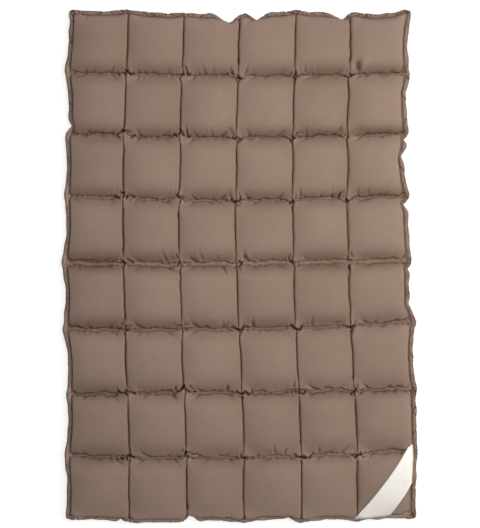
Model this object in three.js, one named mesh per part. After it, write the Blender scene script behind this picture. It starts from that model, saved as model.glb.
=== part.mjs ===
// A baby duvet of nominal size 70 x 100 cm, lying face up on a flat surface.
// Two cloths are sewn together in a grid of 6 x 8 filled pockets, a bias strip is folded over
// the raw edges all round, and a ribbon label crosses the corner pocket at the foot's right.
// Millimetres. +X runs to the right across the face, +Y towards the head edge, +Z up.
// The origin is the middle of the footprint, on the surface that the duvet lies on.

import * as THREE from 'three';

// Driving dimensions

const CLOTH_SEAM = 2.0;        // both cloths, pressed together along a seam
const SEAM_HEIGHT = 12.5;      // middle of a quilting seam above the surface
const EDGE_HEIGHT = 9.0;       // middle of the edge seam above the surface
const CROWN_RISE = 22.0;       // a pocket's top above its seams
const BELLY_DROP = 20.0;       // a pocket's free underside below its seams, flattened by the surface
const CROWN_EXPONENT = 2.4;    // higher makes a pocket flatter on top
const CROWN_ROUNDNESS = 0.62;  // lower makes a pocket's sides steeper
const FILL_SPREAD = 0.07;      // how unevenly the pockets are filled
const FILL_PHASE = { column: 2.3, row: 1.7, both: 0.6 };  // how the filling varies, in radians a pocket

const BINDING_REACH = 10.4;    // edge seam to the binding's outer fold
const BINDING_CLOTH = 1.1;     // the folded strip, one side
const BINDING_LIP = 1.0;       // edge seam to the strip's sewn lips
const BINDING_SWELL = 0.6;     // the strip's rise over its middle
const BINDING_SHOULDER = 0.86; // where the strip starts to turn over the edge, as a share of its reach
const BINDING_NOSE = 0.3;      // the flat of its outer fold, as a share of its half thickness
const EDGE_DROOP = { mean: 8, swing: 4, waveX: 23, waveY: 31 };  // degrees below level, and wave lengths
const FLANGE_REACH = 6.0;      // the cloths' raw edges, held inside the binding
const GAP = 0.3;               // between the cloths and the binding

const LABEL_SPAN = 0.59;       // the ribbon's width, as a share of the pocket's diagonal band
const LABEL_CLOTH = 1.4;
const LABEL_LIFT = 0.9;        // the ribbon's underside above the pocket's cloth
const LABEL_STEPS = { along: 16, across: 6 };

// Where a pocket's surface is sampled between two seams, closer together near them
const POCKET_STEPS = [0, 0.06, 0.2, 0.4, 0.6, 0.8, 0.94];

// The seams that run across the duvet, from the head edge to the foot edge.
// left, middle, right: the seam's y at the left edge, half way and the right edge.
// sway, fan: how far its crossings with the lengthwise seams lie to the right, and spread apart.
// outLeft, outRight: the outline's x where the seam ends.
// drawLeft, drawRight: how far the outline is drawn in half way to the next seam.
// The head and foot edges take their y from the lengthwise seams' ends.
const CROSS_SEAMS = [
  { sway: 0.0, fan: 0.0, outLeft: -331, outRight: 333, drawLeft: 3, drawRight: 5 },
  { left: 375, middle: 367, right: 372, sway: -3.0, fan: 0.5,
    outLeft: -341, outRight: 333, drawLeft: 8, drawRight: 8 },
  { left: 256, middle: 247, right: 255, sway: -7.0, fan: 1.0,
    outLeft: -341, outRight: 328, drawLeft: 4, drawRight: 11 },
  { left: 135, middle: 126, right: 137, sway: -8.5, fan: 1.0,
    outLeft: -341, outRight: 329, drawLeft: 7, drawRight: 3 },
  { left: 8, middle: 6, right: 11, sway: -6.0, fan: 2.5,
    outLeft: -346, outRight: 335, drawLeft: 6, drawRight: 9 },
  { left: -120, middle: -122, right: -108, sway: -2.0, fan: 3.0,
    outLeft: -344, outRight: 343, drawLeft: 7, drawRight: 6 },
  { left: -248, middle: -244, right: -236, sway: 3.5, fan: 4.5,
    outLeft: -337, outRight: 344, drawLeft: 4, drawRight: 1 },
  { left: -369, middle: -370, right: -354, sway: 8.0, fan: 5.5,
    outLeft: -341, outRight: 346, drawLeft: 4, drawRight: 1 },
  { sway: 8.0, fan: 5.0, outLeft: -338, outRight: 343 },
];

// The seams that run lengthwise, from the left edge to the right edge.
// x: the seam before any sway. outHead, outFoot: the outline's y where the seam ends.
// drawHead, drawFoot: how far the outline is drawn in half way to the next seam.
// The left and right edges take their x from the cross seams' ends.
const LENGTH_SEAMS = [
  { outHead: 497, outFoot: -493, drawHead: 2, drawFoot: 3 },
  { x: -216, outHead: 497, outFoot: -499, drawHead: 3, drawFoot: 0 },
  { x: -108, outHead: 492, outFoot: -497, drawHead: 2, drawFoot: 4 },
  { x: 1, outHead: 490, outFoot: -499, drawHead: 2, drawFoot: 8 },
  { x: 110, outHead: 497, outFoot: -499, drawHead: 3, drawFoot: 5 },
  { x: 215, outHead: 493, outFoot: -495, drawHead: 6, drawFoot: 3 },
  { outHead: 499, outFoot: -491 },
];

// Places where the outline is nipped in. at: the nip's middle, as x on the head and foot edges
// and as y on the left and right edges.
const EDGE_NIPS = [
  { edge: 'head', at: -20, halfWidth: 28, depth: 14 },
  { edge: 'head', at: 34, halfWidth: 24, depth: 9 },
  { edge: 'head', at: 196, halfWidth: 26, depth: 9 },
  { edge: 'foot', at: -100, halfWidth: 22, depth: 8 },
  { edge: 'left', at: 276, halfWidth: 22, depth: 7 },
  { edge: 'right', at: 336, halfWidth: 18, depth: 4 },
  { edge: 'right', at: 246, halfWidth: 18, depth: 7 },
  { edge: 'right', at: 119, halfWidth: 18, depth: 9 },
  { edge: 'right', at: -4, halfWidth: 16, depth: 5 },
  { edge: 'right', at: -70, halfWidth: 20, depth: 4 },
];

const COLUMNS = LENGTH_SEAMS.length - 1;
const ROWS = CROSS_SEAMS.length - 1;
const STEPS = POCKET_STEPS.length;
const GRID_WIDE = COLUMNS * STEPS;
const GRID_LONG = ROWS * STEPS;
const MIDDLE_COLUMN = COLUMNS / 2;

const { lerp } = THREE.MathUtils;

// The value at share 0..1 of a parabola that passes through start, half way and end.
function parabola(start, half, end, share) {
  const bow = half - (start + end) / 2;
  return lerp(start, end, share) + 4 * bow * share * (1 - share);
}

// How far an edge is nipped in at a place along it, as the deepest of the nips there.
function nipDepth(edge, along) {
  const depths = EDGE_NIPS.filter((nip) => nip.edge === edge).map((nip) => {
    const near = Math.max(0, 1 - Math.abs(along - nip.at) / nip.halfWidth);
    return nip.depth * near * near * (3 - 2 * near);
  });
  return Math.max(0, ...depths);
}

// Where lengthwise seam i crosses cross seam j. At the outline it is the edge seam's own place.
function crossing(i, j) {
  const cross = CROSS_SEAMS[j];
  const length = LENGTH_SEAMS[i];
  const place = new THREE.Vector2();
  if (i === 0) place.x = cross.outLeft + BINDING_REACH;
  else if (i === COLUMNS) place.x = cross.outRight - BINDING_REACH;
  else place.x = length.x + cross.sway + cross.fan * (i - MIDDLE_COLUMN) / 2;
  if (j === 0) place.y = length.outHead - BINDING_REACH;
  else if (j === ROWS) place.y = length.outFoot + BINDING_REACH;
  else place.y = parabola(cross.left, cross.middle, cross.right, i / COLUMNS);
  return place;
}

// A share of the way between two seams, as its pocket and its place in that pocket.
function gridPlace(step, pockets) {
  const pocket = Math.min(Math.floor(step / STEPS), pockets - 1);
  const share = step === pockets * STEPS ? 1 : POCKET_STEPS[step % STEPS];
  return { pocket, share };
}

// The plan place of a point in the pocket of a column and a row, at shares across and down.
// The four crossings are blended, then the outline's drawn-in stretches and nips are added,
// which fade out towards the pocket's far side.
function planPoint(column, row, across, down) {
  const upper = crossing(column, row).lerp(crossing(column + 1, row), across);
  const lower = crossing(column, row + 1).lerp(crossing(column + 1, row + 1), across);
  const point = upper.lerp(lower, down);
  const bowDown = Math.sin(Math.PI * down);
  const bowAcross = Math.sin(Math.PI * across);
  const cross = CROSS_SEAMS[row];
  const length = LENGTH_SEAMS[column];
  if (column === 0) {
    point.x += (cross.drawLeft * bowDown + nipDepth('left', point.y)) * (1 - across) ** 2;
  }
  if (column === COLUMNS - 1) {
    point.x -= (cross.drawRight * bowDown + nipDepth('right', point.y)) * across ** 2;
  }
  if (row === 0) {
    point.y -= (length.drawHead * bowAcross + nipDepth('head', point.x)) * (1 - down) ** 2;
  }
  if (row === ROWS - 1) {
    point.y += (length.drawFoot * bowAcross + nipDepth('foot', point.x)) * down ** 2;
  }
  return point;
}

// The seams' height above the surface: lower along the outline, where the cloths sink.
function seamHeight(column, row, across, down) {
  const heightAt = (i, j) => {
    const onEdge = i === 0 || i === COLUMNS || j === 0 || j === ROWS;
    return onEdge ? EDGE_HEIGHT : SEAM_HEIGHT;
  };
  const upper = lerp(heightAt(column, row), heightAt(column + 1, row), across);
  const lower = lerp(heightAt(column, row + 1), heightAt(column + 1, row + 1), across);
  return lerp(upper, lower, down);
}

// A pocket's swell between its seams: 0 on a seam, 1 in the middle, with a broad top.
function swell(across, down) {
  const side = (share) => (1 - Math.abs(2 * share - 1) ** CROWN_EXPONENT) ** CROWN_ROUNDNESS;
  return side(across) * side(down);
}

// How full a pocket is: close to 1, and different from pocket to pocket.
function fill(column, row) {
  const phase = FILL_PHASE.column * column + FILL_PHASE.row * row + FILL_PHASE.both * column * row;
  return 1 + FILL_SPREAD * Math.sin(phase);
}

// The upper and lower cloth at one place of a pocket.
function pocketPoints(column, row, across, down) {
  const plan = planPoint(column, row, across, down);
  const middle = seamHeight(column, row, across, down);
  const raised = swell(across, down) * fill(column, row);
  const top = middle + CLOTH_SEAM / 2 + CROWN_RISE * raised;
  const bottom = Math.max(0, middle - CLOTH_SEAM / 2 - BELLY_DROP * raised);
  return {
    top: new THREE.Vector3(plan.x, plan.y, top),
    bottom: new THREE.Vector3(plan.x, plan.y, bottom),
  };
}

// Collects corners and faces, and gives them back as one geometry.
class Skin {
  constructor() {
    this.corners = [];
    this.faces = [];
  }

  add(point) {
    this.corners.push(point);
    return this.corners.length - 1;
  }

  // A face of four corners, counter-clockwise seen from outside.
  quad(a, b, c, d) {
    this.faces.push(a, b, c, a, c, d);
  }

  // Faces between two rows of corners. A closed row runs on from its end to its start.
  strip(first, second, closed = false) {
    const count = closed ? first.length : first.length - 1;
    for (let k = 0; k < count; k += 1) {
      const next = (k + 1) % first.length;
      this.quad(first[k], first[next], second[next], second[k]);
    }
  }

  geometry() {
    const made = new THREE.BufferGeometry().setFromPoints(this.corners);
    made.setIndex(this.faces);
    made.computeVertexNormals();
    return made;
  }
}

// The stations round the edge seam, counter-clockwise from the foot's left corner.
// Each has its grid place and the way out of the duvet there, slanting at a corner.
function edgeStations() {
  const stations = [];
  for (let i = 0; i < GRID_WIDE; i += 1) stations.push({ i, j: GRID_LONG });
  for (let j = GRID_LONG; j > 0; j -= 1) stations.push({ i: GRID_WIDE, j });
  for (let i = GRID_WIDE; i > 0; i -= 1) stations.push({ i, j: 0 });
  for (let j = 0; j < GRID_LONG; j += 1) stations.push({ i: 0, j });
  return stations.map(({ i, j }) => {
    const out = new THREE.Vector3(
      (i === GRID_WIDE) - (i === 0),
      (j === 0) - (j === GRID_LONG),
      0,
    );
    return { i, j, out };
  });
}

// How the edge hangs at a station, in degrees below level: it waves gently round the duvet.
function edgeDroop(place) {
  const { mean, swing, waveX, waveY } = EDGE_DROOP;
  return mean + swing * (Math.sin(place.x / waveX) + Math.sin(place.y / waveY));
}

// A point of the edge's section: reach outwards from the edge seam and rise above its middle,
// turned down about the seam by the droop.
function edgePoint(seam, out, reach, rise) {
  const droop = THREE.MathUtils.degToRad(edgeDroop(seam));
  const outward = reach * Math.cos(droop) + rise * Math.sin(droop);
  const height = rise * Math.cos(droop) - reach * Math.sin(droop);
  return new THREE.Vector3(seam.x, seam.y, seam.z + height).addScaledVector(out, outward);
}

// The middle of the edge seam at a station.
function edgeSeam(station) {
  const x = gridPlace(station.i, COLUMNS);
  const y = gridPlace(station.j, ROWS);
  const { top, bottom } = pocketPoints(x.pocket, y.pocket, x.share, y.share);
  return top.add(bottom).multiplyScalar(0.5);
}

// The filled quilt: both cloths with their pockets, and their raw edges held by the binding.
function quiltGeometry() {
  const skin = new Skin();
  const tops = [];
  const bottoms = [];
  for (let j = 0; j <= GRID_LONG; j += 1) {
    const y = gridPlace(j, ROWS);
    tops.push([]);
    bottoms.push([]);
    for (let i = 0; i <= GRID_WIDE; i += 1) {
      const x = gridPlace(i, COLUMNS);
      const { top, bottom } = pocketPoints(x.pocket, y.pocket, x.share, y.share);
      tops[j].push(skin.add(top));
      bottoms[j].push(skin.add(bottom));
    }
  }
  for (let j = 0; j < GRID_LONG; j += 1) {
    skin.strip(tops[j + 1], tops[j]);
    skin.strip(bottoms[j], bottoms[j + 1]);
  }
  const stations = edgeStations();
  const half = CLOTH_SEAM / 2;
  const flangeRing = (rise) => stations.map((station) => (
    skin.add(edgePoint(edgeSeam(station), station.out, FLANGE_REACH, rise))
  ));
  const upperSeam = stations.map(({ i, j }) => tops[j][i]);
  const lowerSeam = stations.map(({ i, j }) => bottoms[j][i]);
  const upperEdge = flangeRing(half);
  const lowerEdge = flangeRing(-half);
  skin.strip(upperEdge, upperSeam, true);
  skin.strip(lowerEdge, upperEdge, true);
  skin.strip(lowerSeam, lowerEdge, true);
  return skin.geometry();
}

// The bias strip, folded over the raw edges: its section is a U that opens inwards.
function bindingGeometry() {
  const slot = CLOTH_SEAM / 2 + GAP;
  const thick = slot + BINDING_CLOTH;
  const end = FLANGE_REACH + GAP;
  const middle = (BINDING_LIP + BINDING_SHOULDER * BINDING_REACH) / 2;
  const section = [
    { reach: BINDING_LIP, rise: slot },
    { reach: BINDING_LIP, rise: thick },
    { reach: middle, rise: thick + BINDING_SWELL },
    { reach: BINDING_SHOULDER * BINDING_REACH, rise: thick },
    { reach: BINDING_REACH, rise: BINDING_NOSE * thick },
    { reach: BINDING_REACH, rise: -BINDING_NOSE * thick },
    { reach: BINDING_SHOULDER * BINDING_REACH, rise: -thick },
    { reach: BINDING_LIP, rise: -thick },
    { reach: BINDING_LIP, rise: -slot },
    { reach: end, rise: -slot },
    { reach: end, rise: slot },
  ];
  const skin = new Skin();
  const stations = edgeStations();
  const rings = section.map(({ reach, rise }) => stations.map((station) => (
    skin.add(edgePoint(edgeSeam(station), station.out, reach, rise))
  )));
  rings.forEach((ring, k) => skin.strip(rings[(k + 1) % rings.length], ring, true));
  return skin.geometry();
}

// The ribbon label: a band across the corner pocket at the foot's right, from the edge seam at
// the right to the edge seam at the foot. Its inner edge is the pocket's diagonal.
function labelGeometry() {
  const column = COLUMNS - 1;
  const row = ROWS - 1;
  const skin = new Skin();
  const under = [];
  const over = [];
  for (let q = 0; q <= LABEL_STEPS.across; q += 1) {
    const band = 1 + LABEL_SPAN * q / LABEL_STEPS.across;
    under.push([]);
    over.push([]);
    for (let p = 0; p <= LABEL_STEPS.along; p += 1) {
      const run = (2 - band) * p / LABEL_STEPS.along;
      const { top } = pocketPoints(column, row, 1 - run, band - 1 + run);
      under[q].push(skin.add(top.clone().setZ(top.z + LABEL_LIFT)));
      over[q].push(skin.add(top.clone().setZ(top.z + LABEL_LIFT + LABEL_CLOTH)));
    }
  }
  for (let q = 0; q < LABEL_STEPS.across; q += 1) {
    skin.strip(over[q], over[q + 1]);
    skin.strip(under[q + 1], under[q]);
  }
  const rim = (rows) => [
    ...rows[0].slice(0, -1),
    ...rows.slice(0, -1).map((cells) => cells.at(-1)),
    ...rows.at(-1).slice(1).reverse(),
    ...rows.slice(1).reverse().map((cells) => cells[0]),
  ];
  skin.strip(rim(under), rim(over), true);
  return skin.geometry();
}

const taupeCotton = new THREE.MeshStandardMaterial({ color: 0x917b6c, roughness: 0.85, metalness: 0 });
const taupeBias = new THREE.MeshStandardMaterial({ color: 0x86705f, roughness: 0.85, metalness: 0 });
const creamRibbon = new THREE.MeshStandardMaterial({ color: 0xebe6df, roughness: 0.7, metalness: 0 });

function namedMesh(name, geometry, material) {
  const mesh = new THREE.Mesh(geometry, material);
  mesh.name = name;
  return mesh;
}

const duvet = new THREE.Group();
duvet.add(
  namedMesh('quilted_cover', quiltGeometry(), taupeCotton),
  namedMesh('edge_binding', bindingGeometry(), taupeBias),
  namedMesh('corner_label', labelGeometry(), creamRibbon),
);

export default duvet;
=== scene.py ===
"""The looks of a quilted baby duvet, 70 x 100 cm, lying face up on a pale floor.

The cover is a cloth solved over the plan of its seams. A strip is folded over its edge, a ribbon
crosses the corner pocket at the foot's right, and short threads sew them down. Tables and shapes
are in millimetres, with +X to the right, +Y to the head and +Z up, and meshes are made in metres.
A size called a pair is a size and the distance over which it fades, unless its comment differs.
"""

from __future__ import annotations

import logging
import math
from dataclasses import dataclass, field
from enum import Enum
from typing import Any, Iterable, Mapping, Sequence

import bpy
import numpy as np
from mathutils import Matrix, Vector
from numpy.typing import NDArray


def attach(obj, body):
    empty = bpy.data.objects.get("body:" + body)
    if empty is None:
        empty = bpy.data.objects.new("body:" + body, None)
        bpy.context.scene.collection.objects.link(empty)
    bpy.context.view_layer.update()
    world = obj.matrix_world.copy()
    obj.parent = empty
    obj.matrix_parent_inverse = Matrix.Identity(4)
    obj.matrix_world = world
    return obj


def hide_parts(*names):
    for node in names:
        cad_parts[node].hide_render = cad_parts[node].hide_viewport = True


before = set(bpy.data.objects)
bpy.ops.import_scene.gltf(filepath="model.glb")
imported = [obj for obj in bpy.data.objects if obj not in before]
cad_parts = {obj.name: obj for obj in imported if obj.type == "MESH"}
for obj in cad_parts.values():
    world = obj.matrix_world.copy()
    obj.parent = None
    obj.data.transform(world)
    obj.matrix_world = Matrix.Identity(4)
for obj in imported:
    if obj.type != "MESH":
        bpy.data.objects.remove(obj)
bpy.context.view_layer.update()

Array = NDArray[np.float64]
Ints = NDArray[np.int64]
Pair = tuple[float, float]
Triple = tuple[float, float, float]

LOG = logging.getLogger("duvet")
BODY = "root"
METRE = 0.001              # a millimetre, in metres
CUT_MAP = "cut"            # the UV map that follows the cloth, in metres of flat cloth
SHADE_AND_EDGE_MARK = "seam"         # the attribute of painted shade, 1 on a seam and 0 in a pocket's middle, below 0 where light is painted; on the ribbon it darkens the edges
SHADE_TINT_MARK = "painted_shade_tint"         # the attribute that is 1 where the painted shade in the seams is tinted brownest

POCKET_WIDE = 110.0        # between two lengthwise seams, nearly
POCKET_LONG = 124.0        # between two cross seams, nearly
CLOTH_SEAM = 2.0           # both cloths, pressed together along a seam
SEAM_HEIGHT = 12.5         # middle of a quilting seam above the floor
EDGE_HEIGHT = 9.0          # middle of the edge seam above the floor
BINDING_REACH = 10.4       # edge seam to the binding's outer fold
FLANGE_REACH = 6.0         # the cloths' raw edges, held inside the binding
LABEL_FOOT = 254.0         # where the label's lower end meets the foot edge, as x
LABEL_SLIP = (4.0, 34.0)   # how much narrower the binding is there, a pair
SQUARE_ON = 0.9            # the least x or y of the way out that counts as square to an edge


class Edge(Enum):
    """A side of the duvet, seen from above with the head at the top."""

    HEAD = "head"
    FOOT = "foot"
    LEFT = "left"
    RIGHT = "right"


@dataclass(frozen=True)
class CrossSeam:
    """A seam that runs across the duvet. A pair is its values at the left and right end."""

    out: Pair  # the outline's x where it ends
    draw: Pair = (0.0, 0.0)  # how far the outline is drawn in midway to the next
    sway: float = 0.0  # how far its crossings lie to the right
    fan: float = 0.0  # how far they spread apart
    y: Triple = (0.0, 0.0, 0.0)  # at the left edge, half way and the right edge
    fold: float = 0.0  # the width of the fold that is sewn down along it
    gather: float = 0.4  # the share of spare cloth left along the pockets above
    sink: Pair = (0.0, 0.0)  # how deep the groove above the fold is, and how strong its painted shade
    under: Pair = (0.0, 0.0)  # how deep the groove below it is, and how strong its painted shade
    painted_shade_above: Pair = (0.0, 0.0)  # the painted shade on the pockets above
    painted_shade_fold: Pair = (0.0, 0.0)  # the painted shade on the fold
    painted_shade_below: Pair = (0.0, 0.0)  # the painted shade on the pockets below
    shift: Pair = (0.0, 0.0)  # how far it lies to the head between crossings
    dips: tuple[float, ...] = (0.0,) * 5  # how far it swings to the head at each crossing
    jogs: tuple[float, ...] = (0.0,) * 5  # how far the seam above ends to the right of that below


@dataclass(frozen=True)
class LengthSeam:
    """A seam that runs lengthwise. A pair is its values at the head and foot end."""

    out: Pair  # the outline's y where it ends
    draw: Pair = (0.0, 0.0)  # how far the outline is drawn in midway to the next
    x: float = 0.0  # its place before any sway, unless it is an edge


@dataclass(frozen=True)
class EdgeNip:
    """A place where the outline is nipped in: its edge, its middle along that edge, and its size."""

    edge: Edge
    at: float
    half_width: float
    depth: float

    def near(self, along: Array, power: float) -> Array:
        """How near places along the edge are to the nip's middle: 1 there, and 0 past its width."""
        return np.clip(1 - np.abs(along - self.at) / self.half_width, 0, 1) ** power


@dataclass(frozen=True)
class Crease:
    """A long crease in a pocket, drawn from a cross seam."""

    seam: int  # the cross seam, counted from the head edge
    at: float  # where the crease leaves the seam, as x
    reach: float  # how far it runs to the head, or below 0 to the foot
    lean: float  # how far its far end lies to the right
    depth: float  # its trough at the seam
    width: float = 2.6  # half the trough's width
    flare: float = 0.0  # how much wider its far end is, as a share of its width


@dataclass(frozen=True)
class Knot:
    """The bunched cloth where two seams cross, with deep gaps that wind through it."""

    seam: int  # the cross seam, counted from the head edge
    line: int  # the lengthwise seam, counted from the left edge
    gaps: tuple[tuple[float, ...], ...]  # each gap's bends, as x, y, x, y from the crossing


CROSS_SEAMS = (
    CrossSeam(out=(-331, 335), draw=(3, 6)),
    CrossSeam(out=(-340, 332), draw=(8, 6), sway=-3.0, fan=0.5, y=(375, 367, 372), fold=3.6,
              gather=0.6, sink=(0.7, 0.4), painted_shade_above=(0.24, 0.46), painted_shade_fold=(0.12, 0.2), painted_shade_below=(0.07, 0.11),
              shift=(0, 1.4), dips=(6, 2, -8, -4, -6), jogs=(2, 9, 2, 4, 7)),
    CrossSeam(out=(-340, 330.5), draw=(5, 10), sway=-7.0, fan=1.0, y=(256, 247, 255), fold=3.4,
              gather=0.6, sink=(0.8, 0.4), under=(0.3, 0), painted_shade_above=(0.32, 0.54), painted_shade_fold=(0.2, 0.15),
              painted_shade_below=(0.18, 0.16), shift=(0, 1.4), dips=(10, 9, -6, -5, -8), jogs=(2, 3, -2, 1, 3)),
    CrossSeam(out=(-341, 331), draw=(7, 3.5), sway=-8.5, fan=1.0, y=(135, 126, 137), fold=3.8,
              gather=0.65, sink=(0.45, 0.6), under=(0.2, 0.2), painted_shade_above=(0.33, 0.39), painted_shade_fold=(0.02, 0.15),
              painted_shade_below=(0.26, 0.22), dips=(8, 8, -6, -8, -9), jogs=(3, -5, 2, -2, -1)),
    CrossSeam(out=(-346, 335), draw=(7, 8), sway=-6.0, fan=2.5, y=(8, 6, 11), fold=8.0, gather=0.35,
              sink=(0.15, 0), under=(0.28, 0.05), painted_shade_above=(0.49, 0.28), painted_shade_fold=(0.1, 0.15),
              painted_shade_below=(0.5, 0.42), shift=(-3.6, -1), dips=(-4, -3, -5, -5, -2),
              jogs=(1, -3, -4, -5, -3)),
    CrossSeam(out=(-344, 343), draw=(7, 6), sway=-2.0, fan=3.0, y=(-120, -122, -108), fold=5.6,
              gather=0.35, sink=(0.5, 0.15), under=(0.2, 0.2), painted_shade_above=(0.48, 0.16), painted_shade_fold=(0.2, 0.25),
              painted_shade_below=(0.26, 0.1), shift=(-2.3, -1), dips=(-4, 2, -6, -8, -7),
              jogs=(1, -3, -2, -4, 1)),
    CrossSeam(out=(-336.5, 344.5), draw=(5.5, 1), sway=3.5, fan=4.5, y=(-248, -244, -236), fold=5.8,
              gather=0.35, sink=(0.7, 0.35), under=(0.55, 0.5), painted_shade_above=(0.2, 0), painted_shade_fold=(0.42, 0.22),
              painted_shade_below=(0.22, 0.35), shift=(-1.5, -3.3), dips=(6, 10, -6, -1, -2),
              jogs=(-1, -3, -3, 1, -2)),
    CrossSeam(out=(-340.5, 346.5), draw=(4, 1), sway=8.0, fan=5.5, y=(-369, -370, -354), fold=4.6,
              gather=0.45, sink=(0.4, 0.1), under=(0.35, 0.2), painted_shade_above=(0.1, -0.06), painted_shade_fold=(0.36, 0.3),
              painted_shade_below=(0.3, 0.17), shift=(-1.4, -3.9), dips=(2, 7, -8, -6, -3),
              jogs=(-1, -2, -3, 1, 2)),
    CrossSeam(out=(-338, 343), sway=8.0, fan=5.0),
)

LENGTH_SEAMS = (
    LengthSeam(out=(497, -494), draw=(2, 2)),
    LengthSeam(out=(498.5, -500), draw=(3, 0), x=-216),
    LengthSeam(out=(492, -499.5), draw=(2, 4), x=-108),
    LengthSeam(out=(494, -501), draw=(2, 6.5), x=1),
    LengthSeam(out=(497, -501), draw=(3, 5), x=110),
    LengthSeam(out=(496, -497.5), draw=(8, 3), x=215),
    LengthSeam(out=(499, -493)),
)

EDGE_NIPS = (
    EdgeNip(Edge.HEAD, -20, 38, 17.5),
    EdgeNip(Edge.HEAD, 34, 32, 11.5),
    EdgeNip(Edge.HEAD, 199, 33, 12.5),
    EdgeNip(Edge.FOOT, -95, 20, 11),
    EdgeNip(Edge.FOOT, 95, 24, 5.5),
    EdgeNip(Edge.FOOT, -231, 9, 4),
    EdgeNip(Edge.LEFT, 271, 22, 9.5),
    EdgeNip(Edge.RIGHT, 336, 18, 3),
    EdgeNip(Edge.RIGHT, 245, 16, 5.5),
    EdgeNip(Edge.RIGHT, 213, 24, 4),
    EdgeNip(Edge.RIGHT, 119, 18, 9),
    EdgeNip(Edge.RIGHT, -4, 14, 4.5),
    EdgeNip(Edge.RIGHT, -74, 20, 5),
)

CREASES = (
    Crease(1, -11, 22, -9, 5.0),
    Crease(1, 10, 19, 8, 4.2),
    Crease(1, -65, 17, -9, 2.6),
    Crease(1, -49, 22, -4, 2.2),
    Crease(1, 128, 18, -2, 2.8),
    Crease(1, 150, 16, 1, 2.2),
    Crease(1, 232, 27, -4, 4.6, width=6.4, flare=1.0),
    Crease(2, -10, 28, -13, 5.0),
    Crease(2, -52, 24, -5, 2.2),
    Crease(2, 196, 22, -2, 3.0, width=3.6),
    Crease(3, -13, 28, -11, 4.6),
    Crease(3, 119, 24, -2, 2.9),
    Crease(3, 179, 26, -1, 2.4),
    Crease(3, 249, 22, 0, 2.8),
    Crease(4, -138, 32, -16, 3.6),
    Crease(4, -68, 28, -13, 2.8),
    Crease(4, -38, 15, -10, 2.6),
    Crease(4, 13, 20, -5, 3.4, width=3.4),
    Crease(4, -33, -22, 11, 2.8),
    Crease(5, 27, 21, -2, 3.1),
    Crease(5, 140, 24, 2, 2.6),
    Crease(5, -31, 16, -2, 2.6),
    Crease(6, -23, 21, 0, 3.1),
    Crease(6, 105, 21, 1, 3.1, width=3.6),
    Crease(6, -125, 16, 2, 3.1),
    Crease(7, 71, 23, -6, 3.5),
    Crease(7, 87, 17, 4, 2.6),
    Crease(7, 154, 16, 0, 3.1, width=3.6),
    Crease(7, 93, -12, 10, 2.2),
)

KNOTS = (
    Knot(1, 1, ((-10, 11, -4, 12, 3, 5, 10, -1, 15, 5),)),
    Knot(1, 2, ((2, 20, 9, 12, 11, 1, 17, 4),)),
    Knot(1, 3, ((-13, 5, -4, 3, 1, -3, 10, -5, 13, 0),)),
    Knot(1, 4, ((-10, 6, -1, 3), (3, 9, 3, 5, -2, -1, 1, -8, -1, -16))),
    Knot(1, 5, ((-9, 8, 0, 4, 4, -1, 9, 3),)),
    Knot(2, 1, ((-14, 1, -7, -4), (14, -3, 21, 2), (-5, 11, 14, 8))),
    Knot(2, 2, ((-13, 8, -5, 2), (1, 15, 7, 6), (9, 16, 13, 16, 15, 8, 16, 1, 22, 5))),
    Knot(2, 3, ((-11, 20, -3, 5, 9, -4),)),
    Knot(2, 4, ((-8, 5, 3, -1, 7, 8, 12, 12, 20, 9),)),
    Knot(2, 5, ((-11, 8, 0, -1, 12, 6),)),
    Knot(3, 1, ((-18, 6, -7, 1), (-6, 12, 3, 11), (6, -1, 9, 8, 22, 4))),
    Knot(3, 2, ((-12, 12, -8, 17, -2, 15), (-8, 15, 0, 6, 14, 6))),
    Knot(3, 3, ((6, 12, 10, 6, 8, -1, -3, -3, -10, 0), (1, -9, 8, -8, 12, -4))),
    Knot(3, 4, ((9, 8, 8, 4, 0, -4, -5, -7),)),
    Knot(3, 5, ((-5, 12, -11, 10, -15, 5, -15, 0), (-10, 4, -3, -1, 4, -7))),
    Knot(4, 1, ((-7, 5, 3, -2), (3, 8, 10, 4, 18, 0))),
    Knot(4, 2, ((-8, 17, -3, 8), (-1, 1, -6, -6))),
    Knot(4, 3, ((3, 3, 10, -1, 5, -7, 7, -15),)),
    Knot(4, 4, ((-8, 14, -10, 5, 0, -4),)),
    Knot(4, 5, ((3, 17, 9, 8), (0, -8, 3, -20))),
    Knot(5, 1, ((-18, 3, -11, 0, -5, 4), (-10, 8, -2, 11), (-2, 6, 12, 5))),
    Knot(5, 2, ((-18, 11, -12, 5, -5, 8, 3, 8, 10, 11, 15, 8),)),
    Knot(5, 3, ((-16, 5, -3, -2, 7, -3, 9, 6, 18, 3),)),
    Knot(5, 4, ((-12, 4, -6, 2, 0, -4, 9, -5, 11, 2, 13, 4),)),
    Knot(5, 5, ((-10, -3, 0, -6, 6, -2, 10, 7),)),
    Knot(6, 1, ((-22, 8, -15, 1, -3, -1, -2, -6), (3, 9, 13, 6), (4, 3, 15, -1))),
    Knot(6, 2, ((-18, 11, -14, 1, -6, 5, -1, 14, 10, 14, 15, 8, 21, 1),)),
    Knot(6, 3, ((-12, 3, -6, -4, 1, -6, 6, 1, 13, -6, 21, -3), (-9, -7, 3, -13))),
    Knot(6, 4, ((-7, 0, -7, -6, -2, -4, 9, -7, 13, 1),)),
    Knot(6, 5, ((3, 9, 7, 6, 4, 1, 0, -5, -7, -9, -4, -15),)),
    Knot(7, 1, ((-18, -2, -10, -4), (-6, 2, -4, -8), (-5, 5, 9, -1))),
    Knot(7, 2, ((-11, 15, -1, 11, -3, 5), (0, 11, 13, 6, 20, 6))),
    Knot(7, 3, ((-7, 6, -6, 0, -2, -4, 6, -1),)),
    Knot(7, 4, ((-18, -1, -12, 1, -11, -4, -5, -5, 14, -7, 20, 0),)),
    Knot(7, 5, ((-15, -5, -9, -6, -5, -12, 0, -7, 7, -4, 10, -10, 18, -8),)),
)

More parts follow.
